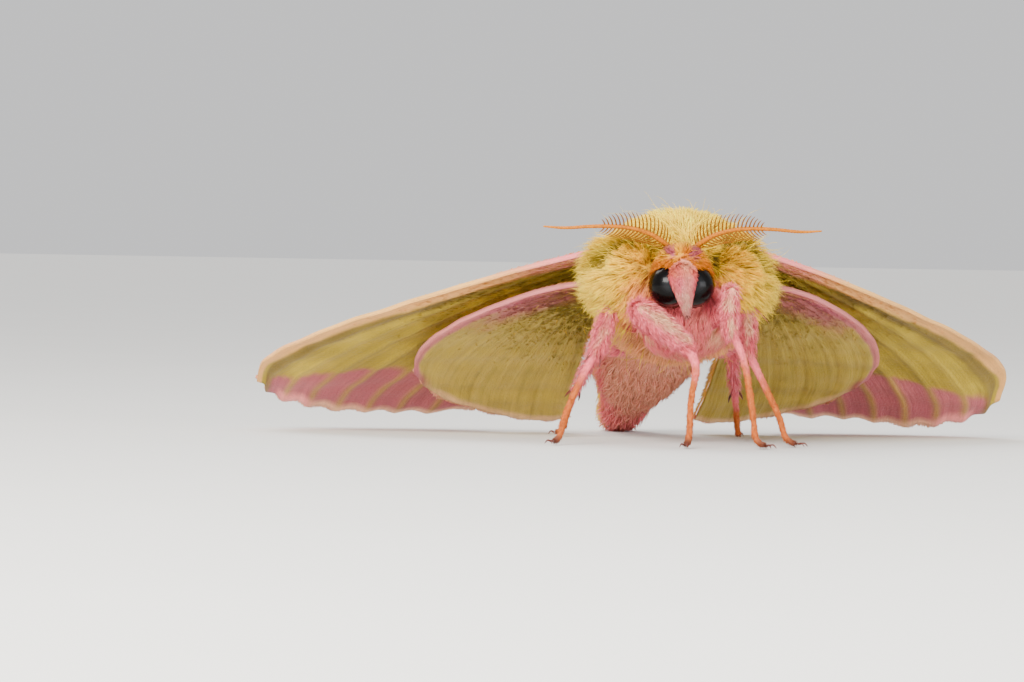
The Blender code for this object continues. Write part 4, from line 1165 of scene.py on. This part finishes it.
def build_claws(material):
    """Two curved claws at the end of each foot, and spurs on the middle and hind tibiae."""
    shapes = []
    for name, parts in LEGS.items():
        before, tip = np.array(parts[2][-2:])[:, :3]
        ahead = unit((tip - before) * (1, 1, 0))
        for aside in (np.cross(ahead, [0, 0, 1]), np.cross(ahead, [0, 0, -1])):
            start = tip + ahead * 0.1 + aside * 0.05
            path = [start, start + ahead * 0.2 + aside * 0.07 + (0, 0, 0.05),
                    start + ahead * 0.36 + aside * 0.12 - (0, 0, 0.09)]
            shapes.append(tube(path, (0.05, 0.04, 0.03, 0.012), 8, 14, (0.3, 0.2, 1)))
        if not name.startswith("foreleg"):
            knee, ankle = np.array(parts[1])[[0, -1], :3]
            ahead = unit(ankle - knee)
            start = ankle - ahead * 0.15
            for aside in (unit(np.cross(ahead, [0, 1, 0.2])), unit(np.cross(ahead, [0, -1, -0.2]))):
                path = [start, start + ahead * 0.35 + aside * 0.25, start + ahead * 0.7 + aside * 0.33]
                shapes.append(tube(path, (0.07, 0.06, 0.05, 0.015), 8, 14, (0.3, 1, 0.1)))
    points, faces = joined(shapes)
    points[:, 2] = np.maximum(points[:, 2], FLOOR_CLEARANCE)
    piece(add_mesh("claws", points, faces), material, "pink_coat")


# Stage

def build_stage():
    bpy.ops.mesh.primitive_plane_add(size=FLOOR_SIZE)
    floor = bpy.context.object
    floor.name = "floor"
    floor.data.materials.append(plain_material("floor", FLOOR_COLOUR, (60, 3, 0.99, 1.01), 0.9))
    world = bpy.data.worlds.new("studio")
    world.use_nodes = True
    backdrop = world.node_tree.nodes["Background"].inputs
    backdrop["Color"].default_value = BACKDROP_COLOUR
    backdrop["Strength"].default_value = BACKDROP_STRENGTH
    bpy.context.scene.world = world
    for name, at, (wide, tall), power, colour in LAMPS:
        lamp = add_lamp(name, "AREA", power, colour)
        lamp.data.shape = "RECTANGLE"
        lamp.data.size, lamp.data.size_y = wide * MM, tall * MM
        aim = -(np.array(at) - (0, 0, 6)).astype(float)
        lamp.matrix_world = Matrix.Translation(np.array(at) * MM) @ aim_turn(aim).to_4x4()
    sun = add_lamp("sun", "SUN", SUN_STRENGTH, SUN_COLOUR)
    sun.data.angle = SUN_SPREAD
    sun.matrix_world = aim_turn(SUN_WAY).to_4x4()


def add_lamp(name, kind, power, colour):
    lamp = bpy.data.objects.new(name, bpy.data.lights.new(name, kind))
    lamp.data.energy = power
    lamp.data.color = colour
    bpy.context.scene.collection.objects.link(lamp)
    return lamp


def aim_turn(way):
    """Rotation whose -Z axis points along a direction."""
    back = -unit(np.array(way, float))
    right = unit(np.cross([0, 0, 1], back))
    return Matrix(np.array([right, np.cross(back, right), back]).T.tolist())


def build_camera():
    right = np.array([math.cos(VIEW_TURN), -math.sin(VIEW_TURN), 0])
    level = np.array([math.sin(VIEW_TURN), math.cos(VIEW_TURN), 0])
    upright = np.array([0, 0, 1])
    up = upright * math.cos(VIEW_RISE) + level * math.sin(VIEW_RISE)
    ahead = level * math.cos(VIEW_RISE) - upright * math.sin(VIEW_RISE)
    place = right * VIEW_AIM[0] + upright * VIEW_AIM[1] - VIEW_DISTANCE * ahead
    across = math.cos(VIEW_ROLL) * right + math.sin(VIEW_ROLL) * up
    over = -math.sin(VIEW_ROLL) * right + math.cos(VIEW_ROLL) * up
    data = bpy.data.cameras.new("camera")
    data.sensor_width = SENSOR
    data.lens = SENSOR * VIEW_DISTANCE / VIEW_WIDTH
    data.clip_start, data.clip_end = CLIP
    camera = bpy.data.objects.new("camera", data)
    place = (place - (0, MIDDLE_Y, 0)) * MM
    turn = Matrix(np.array([across, over, -ahead]).T.tolist())
    camera.matrix_world = Matrix.Translation(place) @ turn.to_4x4()
    bpy.context.scene.collection.objects.link(camera)
    bpy.context.scene.camera = camera


# The moth

def main():
    build_camera()
    build_stage()
    materials = {
        # The second and third numbers are the painted shade at each tuft's root and the painted light at its
        # tip
        "yellow_coat": coat_material("yellow_wool", 0.78, 1.15, 0.2, (1.0, 0.8, 0.35, 1)),
        "orange_coat": coat_material("orange_wool", 0.72, 1.05, 0.08, (1.0, 0.6, 0.2, 1)),
        "pink_coat": coat_material("pink_wool", 0.72, 1.05, 0.2, (1.0, 0.6, 0.6, 1)),
    }
    wing, horn, eye = wing_material(), horn_material(), eye_material()
    claw = plain_material("claw_horn", seen(CLAW_COLOUR), (5000, 2, 0.5, 1.3), 0.35)
    forms = flesh_forms()
    skin = build_skin(forms)
    places, _, triangles = skin
    which, share, _, distances = survey(forms, places)
    tone = markings(forms, places, which, share, distances)
    flesh = ["head", "palps", "thorax", "abdomen", *LEGS]
    piece(add_mesh("skin", places, [triangles], tone), skin_material(), "yellow_coat", *flesh)
    grow_coat(forms, skin, materials)
    loose_hairs(forms, skin, materials["yellow_coat"])
    for side in (1, -1):
        build_eye(side, eye)
        build_antenna(side, horn)
        for kind in WINGS:
            name = build_wing(kind, side, wing)
            wing_coat(kind, side, name, materials["yellow_coat"])
    build_claws(claw)


main()
